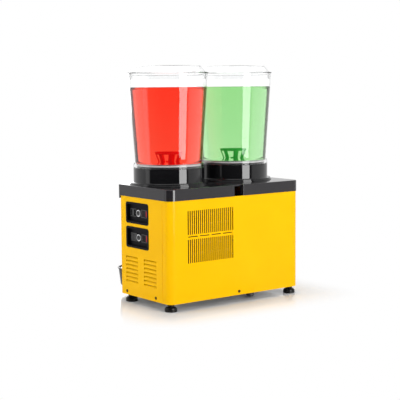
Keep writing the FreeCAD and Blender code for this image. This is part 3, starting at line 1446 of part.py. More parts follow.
def make_pipes():
    """Copper pipes between the compressor, the condenser, the drier and the cooling coils."""
    gap = seat_gap
    shell_base = foot_height + sheet + rubber_height + compressor_plate
    shell_top = shell_base + compressor_height + stub_rise + gap
    condenser_rear = number("mid_y + case_depth / 2 - sheet - condenser_back")
    rear_row = condenser_rear - condenser_depth / 4
    front_row = condenser_rear - condenser_depth * 3 / 4
    end_x = condenser_start - gap
    top_tube = number("condenser_base + tube_pitch * (tube_rows - 0.5)")
    low_tube = number("condenser_base + tube_pitch / 2")
    leg_foot = number("plate_top - plate_wall - coil_tube_radius - 0.1 - coil_leg_drop") - gap
    outer_leg = bowl_y + coil_radius
    inner_leg = outer_leg - 2.4 * coil_tube_radius
    drier_x = end_x - 40
    drier_low = low_tube + 40
    run = leg_foot - 30
    out_x, out_y = compressor_x + discharge_x, mid_y + discharge_y
    back_x, back_y = compressor_x + suction_x, mid_y + suction_y
    discharge = [Vector(out_x, out_y, shell_top), Vector(out_x, out_y, top_tube + 30),
                 Vector(out_x, rear_row, top_tube + 30), Vector(end_x - 34, rear_row, top_tube + 30),
                 Vector(end_x - 34, rear_row, top_tube), Vector(end_x, rear_row, top_tube)]
    liquid = [Vector(end_x, front_row, low_tube), Vector(drier_x, front_row, low_tube),
              Vector(drier_x, front_row, drier_low)]
    feed = [Vector(drier_x, front_row, drier_low + drier_length + 2 * gap), Vector(drier_x, front_row, run),
            Vector(drier_x, outer_leg, run), Vector(bowl_x, outer_leg, run),
            Vector(bowl_x, outer_leg, leg_foot)]
    crossing = [Vector(-bowl_x, inner_leg, leg_foot), Vector(-bowl_x, inner_leg, run - 16),
                Vector(bowl_x, inner_leg, run - 16), Vector(bowl_x, inner_leg, leg_foot)]
    suction = [Vector(-bowl_x, outer_leg, leg_foot), Vector(-bowl_x, outer_leg, shell_top + 70),
               Vector(back_x, back_y, shell_top + 40), Vector(back_x, back_y, shell_top)]
    pipes = doc.addObject("Part::Feature", "pipe_runs")
    pipes.Shape = Part.makeCompound([tube(route, pipe_radius, pipe_bend)
                                     for route in (discharge, liquid, feed, crossing, suction)])
    finish("refrigerant_pipes", pipes)
    drier = turned("drier", [("0", "0"), ("pipe_radius", "0"), ("drier_radius", "10"),
                             ("drier_radius", "drier_length - 10"),
                             ("pipe_radius", "drier_length"), ("0", "drier_length")])
    finish("drier", drier, "condenser_start - seat_gap - 40",
           "mid_y + case_depth / 2 - sheet - condenser_back - condenser_depth * 3 / 4",
           "condenser_base + tube_pitch / 2 + 40 + seat_gap")


def make_cord_gland():
    """The clamp gland in the floor pan that the supply cord would pass through."""
    gland = turned("cord_gland", [
        ("gland_bore", "-gland_drop"), ("gland_radius - 2.5", "-gland_drop"),
        ("gland_radius", "-gland_drop + 3"),
        ("gland_radius", "0"), ("gland_thread", "0"), ("gland_thread", "sheet"), ("gland_radius", "sheet"),
        ("gland_radius", "sheet + 5"), ("gland_thread", "sheet + 5"), ("gland_thread", "gland_rise"),
        ("gland_bore", "gland_rise")])
    finish("cord_gland", gland, "gland_x", "mid_y + gland_y", "foot_height")


make_housing_wrap()
make_front_panel()
make_base_plate()
make_panel_screws()
make_feet()
make_top_cover()
for_each_bowl("collar", make_collar, "bowl_y", "cover_top")
for_both_bowls("cold_plates", make_cold_plate, "bowl_y", "shelf_top")
for_both_bowls("bowl_gaskets", make_gasket, "bowl_y", "plate_top - gasket_drop - gasket_height")
for_both_bowls("cooling_coils", make_cooling_coil, "bowl_y", "plate_top")
for_each_bowl("bowl", make_bowl, "bowl_y", "bowl_base")
for_each_bowl("lid", make_lid, "bowl_y", "bowl_top + seat_gap")
for_each_bowl("stirrer", make_stirrer, "bowl_y", "plate_top + seat_gap")
for_both_bowls("motor_bridges", make_motor_bridge, "bowl_y", "cover_top - cover_wall")
for_both_bowls("drive_motors", make_drive_motor, "bowl_y", "cover_top - cover_wall")
for_each_bowl("drive_magnet", make_drive_magnet, "bowl_y", "cover_top - cover_wall")
for_each_bowl("tap_barrel", make_tap_barrel, "tap_y")
for_each_bowl("tap_cap", make_tap_cap, "tap_y", "barrel_top")
for_each_bowl("tap_pin", make_tap_pin, "tap_y - pivot_forward", "cap_top + pivot_rise")
for_each_bowl("tap_plunger", make_plunger, "tap_y")
for_each_bowl("tap_lever", make_tap_lever, "tap_y - pivot_forward", "cap_top + pivot_rise")
for_each_bowl("tap_spring", make_tap_spring, "tap_y")
for_each_bowl("drip_tray", make_drip_tray, "front_y - tray_forward", "tray_base")
for_each_bowl("drip_grid", make_drip_grid, "front_y - tray_forward",
              "tray_top - tray_ledge_drop + seat_gap / 3")
make_tray_hooks()
pockets = [make_control_pocket(label, step) for label, step in LEVELS]
finish("control_pockets", group("control_pockets_pair", *pockets), "case_length / 2",
       "mid_y - pocket_forward")
for label, step in LEVELS:
    make_dial(label, step)
    make_rocker("cooling_rocker_" + label, step, -1, 2 * step - 1)
    make_rocker("mixer_rocker_" + label, step, 1, 1)
make_dial_rings()
make_thermostats()
make_switch_bodies()
make_compressor()
make_condenser()
make_fan()
make_pipes()
make_cord_gland()

# Check every object, then write each sub-part to its own file
doc.recompute()
for thing in doc.Objects:
    if "Invalid" in thing.State or "Error" in thing.State:
        raise ValueError("not built: " + thing.Label)
for piece in pieces:
    if piece.Shape.isNull() or not piece.Shape.isValid():
        raise ValueError("not a valid solid: " + piece.Label)
for piece in pieces:
    piece.Shape.exportStep("parts/%s.step" % piece.Label)
print("wrote %d sub-parts" % len(pieces))
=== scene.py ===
# %% [markdown]
# # A cold drink dispenser with two clear bowls
#
# This lesson dresses a finished mechanical model: a yellow steel case with the cooling machinery,
# a black cover, and two clear bowls of chilled drink, each with a stirrer, a lid, a tap and a drip
# tray. The solids come ready made and keep their places. What is made here is the look: the
# finishes, the drink in the bowls, the light and the camera. All lengths are in metres, as Blender
# counts.

# %% Loading the solids
import math

import bmesh
import bpy
from mathutils import Matrix, Vector


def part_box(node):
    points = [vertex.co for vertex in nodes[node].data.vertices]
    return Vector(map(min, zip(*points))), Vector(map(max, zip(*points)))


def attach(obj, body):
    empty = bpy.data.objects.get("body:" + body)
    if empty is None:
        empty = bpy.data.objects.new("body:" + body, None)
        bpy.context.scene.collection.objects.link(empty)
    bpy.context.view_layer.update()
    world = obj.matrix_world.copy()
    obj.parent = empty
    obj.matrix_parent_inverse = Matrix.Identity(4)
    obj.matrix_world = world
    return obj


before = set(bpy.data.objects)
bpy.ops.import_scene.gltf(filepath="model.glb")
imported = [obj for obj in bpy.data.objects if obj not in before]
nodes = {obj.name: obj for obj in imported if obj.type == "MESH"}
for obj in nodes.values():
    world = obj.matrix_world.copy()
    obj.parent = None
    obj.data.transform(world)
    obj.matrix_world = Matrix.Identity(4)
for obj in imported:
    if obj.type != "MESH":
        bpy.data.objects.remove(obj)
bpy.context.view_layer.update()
MM = 0.001

# %% [markdown]
# ## The camera
#
# A product shot like this is taken from far away with a long lens, which keeps upright edges nearly
# parallel. Three directions describe how the camera is turned: where its right side points, where
# its top points, and where it looks. Put together as the columns of a matrix, they turn it exactly
# as the photographer did.

# %% Camera
LENS = 96.998
SENSOR_WIDTH = 36
camera_place = Vector((1.98881, 2.65241, 0.64630))
camera_right = Vector((-0.7971613, 0.6037153, -0.0078554))
camera_up = Vector((-0.0705835, -0.0802630, 0.9942715))
camera_back = camera_right.cross(camera_up)

camera = bpy.data.objects.new("camera", bpy.data.cameras.new("camera"))
bpy.context.scene.collection.objects.link(camera)
camera.data.lens = LENS
camera.data.sensor_width = SENSOR_WIDTH
turned = Matrix((camera_right, camera_up, camera_back)).transposed().to_4x4()
camera.matrix_world = Matrix.Translation(camera_place) @ turned
bpy.context.scene.camera = camera
bpy.context.scene.view_settings.view_transform = "Standard"
print("camera is", round(camera_place.length, 2), "m away")

# %% [markdown]
# ## Small helpers for shader nodes
#
# A shader is a small network: each node takes in numbers, colours or directions and hands on a
# result. The same few nodes come back in every network, so each gets a short helper here.

# %% Node helpers
def feed(tree, socket, value):
    """Sets a socket to a number or a colour, or links another node's output to it."""
    if isinstance(value, tuple):
        socket.default_value = (*value, 1)
    elif isinstance(value, (int, float)):
        socket.default_value = value
    else:
        tree.links.new(value, socket)


def maths(tree, operation, first, second=0.0):
    """One Math node. Each side is a number or another node's output."""
    node = tree.nodes.new("ShaderNodeMath")
    node.operation = operation
    for socket, value in zip(node.inputs, (first, second)):
        feed(tree, socket, value)
    return node.outputs[0]


def ramp(tree, value, start, end, low, high, shape="SMOOTHSTEP"):
    """A value moved from low to high while the input goes from start to end."""
    node = tree.nodes.new("ShaderNodeMapRange")
    node.interpolation_type = shape
    tree.links.new(value, node.inputs["Value"])
    names = ("From Min", "From Max", "To Min", "To Max")
    for name, number in zip(names, (start, end, low, high)):
        feed(tree, node.inputs[name], number)
    return node.outputs["Result"]


def parts(tree, vector):
    """The X, Y and Z of a vector."""
    node = tree.nodes.new("ShaderNodeSeparateXYZ")
    tree.links.new(vector, node.inputs[0])
    return node.outputs


def noise(tree, vector, scale, detail):
    """A soft random pattern, with scale features in a metre."""
    node = tree.nodes.new("ShaderNodeTexNoise")
    feed(tree, node.inputs["Scale"], scale)
    node.inputs["Detail"].default_value = detail
    tree.links.new(vector, node.inputs["Vector"])
    return node.outputs["Fac"]


def colour_mix(tree, amount, under, over):
    """One colour laid over another, by an amount between 0 and 1."""
    node = tree.nodes.new("ShaderNodeMix")
    node.data_type = "RGBA"
    for name, value in (("Factor", amount), ("A", under), ("B", over)):
        feed(tree, node.inputs[name], value)
    return node.outputs["Result"]


def lay_over(tree, amount, colour):
    """A further colour over whatever feeds a finish's Base Color so far."""
    base = tree.nodes["Principled BSDF"].inputs["Base Color"]
    tree.links.new(colour_mix(tree, amount, base.links[0].from_socket, colour), base)


print("helpers are ready")

# %% [markdown]
# ## The white room
#
# The machine stands on a white table in front of white paper. The world looks plain white to the
# camera and through glass, but it lights the machine with less, so that colours stay as they are
# written. What polished surfaces mirror is a white room with one dark side, behind the
# photographer, and that dark side gives black plastic its depth. Light Path tells these uses apart.

# %% World
WORLD_LIGHT = 0.42
DIM_ROOM, WHITE_ROOM = 0.03, 0.88
DARK_TO, WHITE_FROM = -0.52, -0.38
BEHIND_GLASS = 1.16

world = bpy.data.worlds.new("white paper")
bpy.context.scene.world = world
world.use_nodes = True
sky = world.node_tree
paper_side = Vector((-camera_back.x, -camera_back.y, 0)).normalized()


def mirrored_room(tree, direction):
    """How bright the room is in a direction: dark behind the photographer, white elsewhere."""
    towards_paper = tree.nodes.new("ShaderNodeVectorMath")
    towards_paper.operation = "DOT_PRODUCT"
    towards_paper.inputs[1].default_value = paper_side
    tree.links.new(direction, towards_paper.inputs[0])
    return ramp(tree, towards_paper.outputs["Value"], DARK_TO, WHITE_FROM, DIM_ROOM, WHITE_ROOM)


def seen_through(tree, path, room):
    """How white a ray through glass finds the room: plain white, or less if it was mirrored too."""
    reflected = maths(tree, "MINIMUM", path.outputs["Glossy Depth"], 1.0)
    lost = maths(tree, "MULTIPLY", reflected, maths(tree, "SUBTRACT", 1.0, room))
    found = maths(tree, "MULTIPLY", maths(tree, "SUBTRACT", 1.0, lost), BEHIND_GLASS)
    return maths(tree, "MULTIPLY", path.outputs["Is Transmission Ray"], found)


def in_mirror(tree, path, room):
    """What a ray finds that was only mirrored.

    Rays through glass count as glossy too, so they are left out."""
    straight_on = maths(tree, "SUBTRACT", 1.0, path.outputs["Is Transmission Ray"])
    only_mirrored = maths(tree, "MULTIPLY", path.outputs["Is Glossy Ray"], straight_on)
    return maths(tree, "MULTIPLY", only_mirrored, room)


def room_light(tree, path, room):
    """The room as camera rays, rays through glass and mirrored rays find it."""
    white = maths(tree, "MAXIMUM", path.outputs["Is Camera Ray"], seen_through(tree, path, room))
    return maths(tree, "MAXIMUM", white, in_mirror(tree, path, room))


def any_look(tree, path):
    """1 for every ray that looks at something, and 0 for light that only spreads."""
    direct = maths(tree, "MAXIMUM", path.outputs["Is Camera Ray"],
                   path.outputs["Is Transmission Ray"])
    return maths(tree, "MAXIMUM", direct, path.outputs["Is Glossy Ray"])


towards = sky.nodes.new("ShaderNodeTexCoord").outputs["Generated"]
path = sky.nodes.new("ShaderNodeLightPath")
visible = room_light(sky, path, mirrored_room(sky, towards))
spreading = maths(sky, "SUBTRACT", 1.0, any_look(sky, path))
strength = maths(sky, "ADD", visible, maths(sky, "MULTIPLY", spreading, WORLD_LIGHT))
sky.links.new(strength, sky.nodes["Background"].inputs["Strength"])
sky.nodes["Background"].inputs["Color"].default_value = (1, 1, 1, 1)
print("world lights with", WORLD_LIGHT)

# %% [markdown]
# ## The table top
#
# The table has to look white and still take the soft shadow under the case. Near the machine it is
# a plain pale surface with a faint gloss, which gives the reflections under the feet. Within twenty
# centimetres of the case it fades into the same white as the room, so no edge shows.

# %% Floor
FLOOR_REACH = 12.0
SHADOW_REACH = 0.20
HALF_LENGTH, HALF_DEPTH, MIDDLE_Y = 0.245, 0.124, 0.07725

floor_mesh = bpy.data.meshes.new("floor")
corners = [(-FLOOR_REACH, -FLOOR_REACH, 0), (FLOOR_REACH, -FLOOR_REACH, 0),
           (FLOOR_REACH, FLOOR_REACH, 0), (-FLOOR_REACH, FLOOR_REACH, 0)]
floor_mesh.from_pydata(corners, [], [(0, 1, 2, 3)])
floor = bpy.data.objects.new("floor", floor_mesh)
bpy.context.scene.collection.objects.link(floor)

floor_finish = bpy.data.materials.new("white table")
floor_finish.use_nodes = True
tree = floor_finish.node_tree
table_top = tree.nodes["Principled BSDF"]
table_top.inputs["Base Color"].default_value = (0.93, 0.93, 0.93, 1)
table_top.inputs["Roughness"].default_value = 0.12
table_top.inputs["Specular IOR Level"].default_value = 0.30

# How far a spot of the table lies outside the case, along each side and then straight across.
spot = tree.nodes.new("ShaderNodeNewGeometry").outputs["Position"]
at = parts(tree, spot)
from_middle = maths(tree, "SUBTRACT", at["Y"], MIDDLE_Y)
squares = []
for distance, half in ((at["X"], HALF_LENGTH), (from_middle, HALF_DEPTH)):
    over = maths(tree, "SUBTRACT", maths(tree, "ABSOLUTE", distance), half)
    squares.append(maths(tree, "POWER", maths(tree, "MAXIMUM", over, 0.0), 2.0))
away = maths(tree, "SQRT", maths(tree, "ADD", *squares))
fade = ramp(tree, away, 0.0, SHADOW_REACH, 0.0, 1.0)

# The same white room as the world's, for rays that meet the table far out.
outward = tree.nodes.new("ShaderNodeVectorMath")
outward.operation = "NORMALIZE"
tree.links.new(spot, outward.inputs[0])
path = tree.nodes.new("ShaderNodeLightPath")
under_paper = mirrored_room(tree, outward.outputs["Vector"])
glow = tree.nodes.new("ShaderNodeEmission")
tree.links.new(room_light(tree, path, under_paper), glow.inputs["Strength"])

mix = tree.nodes.new("ShaderNodeMixShader")
tree.links.new(maths(tree, "MULTIPLY", fade, any_look(tree, path)), mix.inputs["Fac"])
tree.links.new(table_top.outputs["BSDF"], mix.inputs[1])
tree.links.new(glow.outputs["Emission"], mix.inputs[2])
tree.links.new(mix.outputs["Shader"], tree.nodes["Material Output"].inputs["Surface"])
floor_mesh.materials.append(floor_finish)
print("floor is", 2 * FLOOR_REACH, "m wide")

# %% [markdown]
# ## Soft lamps
#
# Two tall softboxes stand to the left and the right of the camera, one facing each visible side of
# the case. The right one also shines back as the bright upright band on the bowls and collars. A
# wide lamp above evens out the light and softens the shadow, and a weak one helps the tap side.
# Each softbox is made of two lamps, so that how it lights and how it mirrors can be set apart.

# %% Lamps
AIM = Vector((0, 0, 0.38))
FACE_FORWARD = 0.02

# Name, direction from the machine, distance, width, height, watts, and watts as mirrored.
SOFTBOXES = (("right_softbox", (-0.11, 0.994, 0.10), 2.3, 1.0, 2.0, 30, 62),
             ("left_softbox", (0.96, -0.26, 0.10), 2.3, 0.60, 2.0, 20, 2),
             ("top_softbox", (0.1, 0.15, 1), 2.2, 2.4, 2.4, 30, 30),
             ("tap_side_softbox", (-0.3, -1.0, 0.35), 2.6, 1.2, 1.6, 12, 12))


def softbox(name, direction, away, width, height, watts, mirrored):
    """A rectangular lamp that looks at the machine from one direction.

    The lamp lights with watts. What polished surfaces mirror is a second face with its own."""
    for part, energy, forward in (("light", watts, 0), ("face", mirrored, FACE_FORWARD)):
        label = name + "_" + part
        lamp = bpy.data.objects.new(label, bpy.data.lights.new(label, "AREA"))
        bpy.context.scene.collection.objects.link(lamp)
        lamp.data.shape = "RECTANGLE"
        lamp.data.size = width
        lamp.data.size_y = height
        lamp.data.energy = energy
        lamp.location = AIM + Vector(direction).normalized() * (away - forward)
        lamp.rotation_mode = "QUATERNION"
        lamp.rotation_quaternion = (lamp.location - AIM).to_track_quat("Z", "Y")
        lamp.visible_camera = False
        lamp.visible_transmission = False
        lamp.visible_diffuse = part == "light"
        lamp.visible_glossy = part == "face"
    print("%s: %g W, mirrored as %g W" % (name, watts, mirrored))


for box in SOFTBOXES:
    softbox(*box)

# %% [markdown]
# ## Shared surface effects
#
# Real surfaces are never quite even. Three small node groups hold effects that many finishes share:
# a fine grain in the surface, the straight lines left by brushing or rolling, and a thin film of
# dust on what faces up. Each gives masks and heights, and every finish uses them with its own
# values.

# %% Node group helpers
def new_group(name, inputs, outputs):
    """An empty shader group with named number inputs and outputs."""
    group = bpy.data.node_groups.new(name, "ShaderNodeTree")
    number = "NodeSocketFloat"
    for label, value in inputs.items():
        made = group.interface.new_socket(name=label, in_out="INPUT", socket_type=number)
        made.default_value = value
    for label in outputs:
        group.interface.new_socket(name=label, in_out="OUTPUT", socket_type=number)
    print("group:", name)
    return group, group.nodes.new("NodeGroupInput"), group.nodes.new("NodeGroupOutput")


def on_piece(tree):
    """The place on a piece, in metres, which moves with the piece."""
    return tree.nodes.new("ShaderNodeTexCoord").outputs["Object"]


# %% Grain
BROAD_SCALE, BROAD_SHARE = 9.0, 0.7

grain_group, start, end = new_group("grain", {"Size mm": 1.0}, ["Tone", "Height"])
place = on_piece(grain_group)
broad = noise(grain_group, place, BROAD_SCALE, 3.0)
per_metre = maths(grain_group, "DIVIDE", 1000.0, start.outputs["Size mm"])
fine = noise(grain_group, place, per_metre, 2.0)
mixed = maths(grain_group, "ADD", maths(grain_group, "MULTIPLY", broad, BROAD_SHARE),
              maths(grain_group, "MULTIPLY", fine, 1.0 - BROAD_SHARE))
grain_group.links.new(mixed, end.inputs["Tone"])
grain_group.links.new(fine, end.inputs["Height"])

# %% Brushed lines
brushed_group, start, end = new_group("brushed lines", {"Size mm": 0.5, "Stretch": 30.0},
                                      ["Tone", "Height"])
at = parts(brushed_group, on_piece(brushed_group))
per_metre = maths(brushed_group, "DIVIDE", 1000.0, start.outputs["Size mm"])
along = maths(brushed_group, "DIVIDE", per_metre, start.outputs["Stretch"])
joined = brushed_group.nodes.new("ShaderNodeCombineXYZ")
for axis, scale in zip("XYZ", (along, per_metre, per_metre)):
    brushed_group.links.new(maths(brushed_group, "MULTIPLY", at[axis], scale), joined.inputs[axis])
lines = noise(brushed_group, joined.outputs[0], 1.0, 2.0)
brushed_group.links.new(lines, end.inputs["Tone"])
brushed_group.links.new(lines, end.inputs["Height"])

# %% Dust film
DUST_SCALE = 160.0
FACES_UP_FROM = 0.55

dust_group, start, end = new_group("dust film", {"Amount": 0.2}, ["Mask"])
normal = parts(dust_group, dust_group.nodes.new("ShaderNodeNewGeometry").outputs["Normal"])
upward = ramp(dust_group, normal["Z"], FACES_UP_FROM, 1.0, 0.0, 1.0, "LINEAR")
specks = noise(dust_group, on_piece(dust_group), DUST_SCALE, 4.0)
patch = maths(dust_group, "MULTIPLY", upward, specks)
film = maths(dust_group, "MULTIPLY", patch, start.outputs["Amount"])
dust_group.links.new(film, end.inputs["Mask"])

# %% [markdown]
# ## One way to make a finish
#
# Most finishes need the same few things: two near colours that the grain wanders between, two
# roughnesses, a relief, and perhaps dust. This helper wires them up once. A value that is the same
# all over the surface goes straight onto the shader's own socket.

# %% The finish helper
TONE_FROM, TONE_TO = 0.3, 0.7
DUST_GREY = (0.5, 0.48, 0.45)
finishes = {}


def finish(name, pale, deep, smooth, dull, size, relief, group=grain_group, dust=0.0, plain=None):
    """A finish whose grain has a feature size and a relief in millimetres."""
    material = bpy.data.materials.new(name)
    material.use_nodes = True
    tree = material.node_tree
    shader = tree.nodes["Principled BSDF"]
    grain = tree.nodes.new("ShaderNodeGroup")
    grain.node_tree = group
    grain.inputs["Size mm"].default_value = size
    tone = grain.outputs["Tone"]
    contrast = ramp(tree, tone, TONE_FROM, TONE_TO, 0.0, 1.0, "LINEAR")
    colour = colour_mix(tree, contrast, deep, pale)
    rough = ramp(tree, tone, TONE_FROM, TONE_TO, smooth, dull, "LINEAR")
    bump = tree.nodes.new("ShaderNodeBump")
    bump.inputs["Distance"].default_value = relief * MM
    tree.links.new(grain.outputs["Height"], bump.inputs["Height"])
    tree.links.new(bump.outputs["Normal"], shader.inputs["Normal"])
    if dust:
        film = tree.nodes.new("ShaderNodeGroup")
        film.node_tree = dust_group
        film.inputs["Amount"].default_value = dust
        colour = colour_mix(tree, film.outputs["Mask"], colour, DUST_GREY)
        rough = maths(tree, "ADD", rough, film.outputs["Mask"])
    tree.links.new(colour, shader.inputs["Base Color"])
    tree.links.new(rough, shader.inputs["Roughness"])
    for socket, value in (plain or {}).items():
        shader.inputs[socket].default_value = value
    finishes[name] = material
    return material


def tint(*chart):
    """A colour picked from a colour chart (0 to 255), as the linear numbers Blender mixes with."""
    return tuple(((c / 255 + 0.055) / 1.055) ** 2.4 if c > 10 else c / 255 / 12.92 for c in chart)


# %% [markdown]
# ## Painted and plated steel
#
# The case is powder coated: the paint is sprayed on as dry powder and baked, so it is even in
# colour but has the slight waviness of orange peel. The parts inside are left as zinc plated sheet,
# whose rolling lines show, and the compressor is dipped in thick black enamel.

# %% Steel finishes
METAL = {"Metallic": 1.0}
finish("yellow_case", tint(255, 197, 8), tint(252, 191, 5), 0.16, 0.22, 2.2, 0.010,
       plain={"Specular IOR Level": 0.06})
finish("galvanised", (0.60, 0.61, 0.62), (0.50, 0.51, 0.53), 0.30, 0.42, 3.0, 0.006, plain=METAL)
finish("shroud", (0.52, 0.53, 0.54), (0.44, 0.45, 0.46), 0.32, 0.45, 3.0, 0.006, plain=METAL)
finish("motor", (0.16, 0.17, 0.19), (0.12, 0.13, 0.15), 0.38, 0.50, 1.2, 0.01, dust=0.3)
finish("compressor_black", (0.022, 0.022, 0.023), (0.014, 0.014, 0.015), 0.22, 0.32, 3.5, 0.03,
       dust=0.5)
finish("thermostat", (0.50, 0.51, 0.53), (0.42, 0.43, 0.45), 0.30, 0.40, 1.0, 0.005, plain=METAL)
for name, pale, deep, low, high in (
        ("stainless", (0.70, 0.70, 0.70), (0.60, 0.60, 0.60), 0.22, 0.34),
        ("grid_steel", (0.68, 0.68, 0.68), (0.58, 0.58, 0.58), 0.20, 0.32),
        ("pin_steel", (0.72, 0.72, 0.71), (0.60, 0.60, 0.60), 0.18, 0.28),
        ("spring_steel", (0.70, 0.70, 0.70), (0.55, 0.55, 0.55), 0.16, 0.26),
        ("screw", (0.10, 0.045, 0.025), (0.05, 0.022, 0.014), 0.34, 0.48)):
    finish(name, pale, deep, low, high, 0.5, 0.003, group=brushed_group, plain=METAL)
print("steel finishes:", len(finishes))

# %% [markdown]
# ## Copper, aluminium and the magnet
#
# Refrigerant runs in soft copper tube, which is bright where new and browns a little in patches.
# The condenser's thin fins are aluminium with a dark coat, dulled by the dust that the fan pulls
# in. The drive magnets are dark sintered blocks with a sandy surface.

# %% Other metals
finish("copper", (0.80, 0.42, 0.26), (0.52, 0.24, 0.14), 0.20, 0.38, 6.0, 0.004, plain=METAL)
finish("fins", (0.055, 0.052, 0.045), (0.040, 0.038, 0.033), 0.6, 0.75, 1.5, 0.006, dust=0.08,
       plain={"Metallic": 0.4})
finish("magnet", (0.09, 0.09, 0.10), (0.06, 0.06, 0.065), 0.5, 0.65, 0.6, 0.02)
finish("dial_ring", (0.86, 0.86, 0.87), (0.78, 0.78, 0.79), 0.22, 0.32, 0.4, 0.002,
       plain={"Metallic": 0.6})
print("finishes:", len(finishes))

# %% [markdown]
# ## Moulded plastics and rubber
#
# The cover, collars, trays and taps are black plastic from polished moulds, so they mirror the
# room. The pockets and dials come from etched moulds and stay matt. Seals and mounts are rubber,
# the dullest surfaces on the machine, while the feet are a smoother, nearly black rubber.

# %% Plastics
finish("black_cover", (0.020, 0.018, 0.021), (0.015, 0.014, 0.016), 0.05, 0.08, 6.0, 0.005,
       dust=0.02)
finish("black_collar", (0.008, 0.008, 0.009), (0.005, 0.005, 0.006), 0.04, 0.07, 7.0, 0.004)
finish("tray_black", (0.020, 0.020, 0.021), (0.013, 0.013, 0.014), 0.18, 0.26, 5.0, 0.008,
       plain={"Specular IOR Level": 0.25})
finish("tap_black", (0.020, 0.020, 0.021), (0.013, 0.013, 0.014), 0.14, 0.22, 4.0, 0.006)
finish("lever_black", (0.022, 0.022, 0.025), (0.015, 0.015, 0.017), 0.16, 0.24, 4.0, 0.006)
finish("pocket_black", (0.006, 0.006, 0.008), (0.004, 0.004, 0.006), 0.38, 0.48, 0.5, 0.02,
       plain={"Specular IOR Level": 0.08})
finish("dial", (0.016, 0.016, 0.017), (0.010, 0.010, 0.011), 0.34, 0.44, 0.5, 0.015)
finish("switch_black", (0.016, 0.016, 0.017), (0.010, 0.010, 0.011), 0.20, 0.28, 2.0, 0.004)
finish("rocker_black", (0.020, 0.020, 0.022), (0.014, 0.014, 0.015), 0.14, 0.20, 2.0, 0.004)
finish("rocker_red", (0.012, 0.008, 0.010), (0.008, 0.005, 0.006), 0.08, 0.14, 2.0, 0.003,
       plain={"Specular IOR Level": 0.2})
finish("fan_plastic", (0.05, 0.05, 0.052), (0.035, 0.035, 0.037), 0.30, 0.42, 1.5, 0.01, dust=0.3)
finish("gland", (0.035, 0.035, 0.036), (0.025, 0.025, 0.026), 0.34, 0.46, 1.0, 0.01)
finish("white_plastic", (0.84, 0.84, 0.83), (0.78, 0.78, 0.77), 0.24, 0.34, 2.0, 0.006)
finish("foot_rubber", (0.006, 0.006, 0.006), (0.004, 0.004, 0.004), 0.22, 0.34, 0.8, 0.01,
       plain={"Specular IOR Level": 0.25})
finish("seal_rubber", (0.05, 0.05, 0.05), (0.04, 0.04, 0.04), 0.5, 0.65, 1.0, 0.01)
finish("mount_rubber", (0.022, 0.022, 0.022), (0.014, 0.014, 0.014), 0.6, 0.75, 0.8, 0.02)
print("finishes:", len(finishes))

# %% [markdown]
# ## Clear bowls and lids
#
# Bowls and lids are polycarbonate. Its look is all refraction: the wall bends what is behind it and
# mirrors the softboxes. Transmission Weight stays a plain 1. A very faint waviness from the mould
# is the only relief. Where lids and bowls stand behind each other, a line of sight crosses many
# walls, more than the renderer follows, so from the eighth wall on it goes straight through.

# %% Clear plastic
WALLS_BENT = 7.5

finish("clear_bowl", (1.0, 1.0, 1.0), (0.985, 0.992, 0.992), 0.015, 0.03, 30.0, 0.004,
       plain={"Transmission Weight": 1.0, "IOR": 1.42})
finish("clear_lid", (1.0, 1.0, 1.0), (0.985, 0.988, 0.992), 0.02, 0.05, 30.0, 0.004,
       plain={"Transmission Weight": 1.0, "IOR": 1.32})
for name in ("clear_bowl", "clear_lid"):
    tree = finishes[name].node_tree
    crossed = tree.nodes.new("ShaderNodeLightPath").outputs["Transmission Depth"]
    bends = maths(tree, "LESS_THAN", crossed, WALLS_BENT)
    tree.links.new(bends, tree.nodes["Principled BSDF"].inputs["Alpha"])
print("finishes:", len(finishes))

# %% [markdown]
# ## Giving the solids their finishes
#
# The imported record says which material slot each solid has. The names of the finishes above are the
# names of those slots, so one loop can hand them out. The stirrers are white plastic too. Light that
# has been bent twice hardly reaches them in a render, so their finish is painted light: a base colour
# in the drink's tint and a painted glow of the same tint stand in for the light the drink lets
# through.

# %% Finishes onto the solids
STIRRER_PAINTED_TINTS = (("left", (0.05, 0.42, 0.07), (0.04, 0.36, 0.06)),
         ("right", (0.80, 0.012, 0.02), (0.72, 0.01, 0.016)))
PAINTED_GLOW = 0.45

given = 0
for name, solid in nodes.items():
    for slot in solid.material_slots:
        wanted = slot.material.name.split(".")[0] if slot.material else ""
        if wanted in finishes:
            slot.material = finishes[wanted]
            given += 1
        else:
            print("no finish for", name, wanted)
# Painted light: the stirrers' drink colour and their glow stand in for the tinted light the drink
# lets through.
for side, pale, deep in STIRRER_PAINTED_TINTS:
    painted_stirrer = finish("stirrer_" + side, pale, deep, 0.16, 0.26, 2.0, 0.006,
                    plain={"Emission Color": (*deep, 1.0), "Emission Strength": PAINTED_GLOW})
    nodes["stirrer_" + side].material_slots[0].material = painted_stirrer
print("slots given a finish:", given)

# %% [markdown]
# ## Two colours in one piece
#
# The mixer rockers are black with a small red window at one end. The seal under each bowl is dark
# rubber with a pale band along its top, a painted highlight. Where the second colour begins is a
# plain distance along one axis of the piece, so a ramp on its object coordinates can switch between
# the two.

# %% Rocker windows and the seal's painted highlight
WINDOW_SHARE = 0.28
WINDOW_RED = (0.42, 0.004, 0.012)
PAINTED_BAND_HEIGHT = 0.0044
SEAL_TOP_PAINTED_LIGHT = (0.95, 0.93, 0.93)


def second_colour(name, axis, start, end, pale):
    """Mixes a second colour into a finish from one place on, along one axis of the piece."""
    tree = finishes[name].node_tree
    at = parts(tree, on_piece(tree))
    lay_over(tree, ramp(tree, at[axis], start, end, 0.0, 1.0), pale)
    print(name, "changes colour at", round(start, 4))


rocker_low, rocker_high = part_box("mixer_rocker_upper")
seal_low, seal_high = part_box("bowl_gaskets")
window = rocker_high[1] - WINDOW_SHARE * (rocker_high[1] - rocker_low[1])
band_from = seal_high[2] - PAINTED_BAND_HEIGHT
second_colour("rocker_red", "Y", window - 0.2 * MM, window + 0.2 * MM, WINDOW_RED)
# Painted highlight: the pale band along the seal's top stands in for a bright line there.
second_colour("seal_rubber", "Z", band_from, band_from + 0.6 * MM, SEAL_TOP_PAINTED_LIGHT)
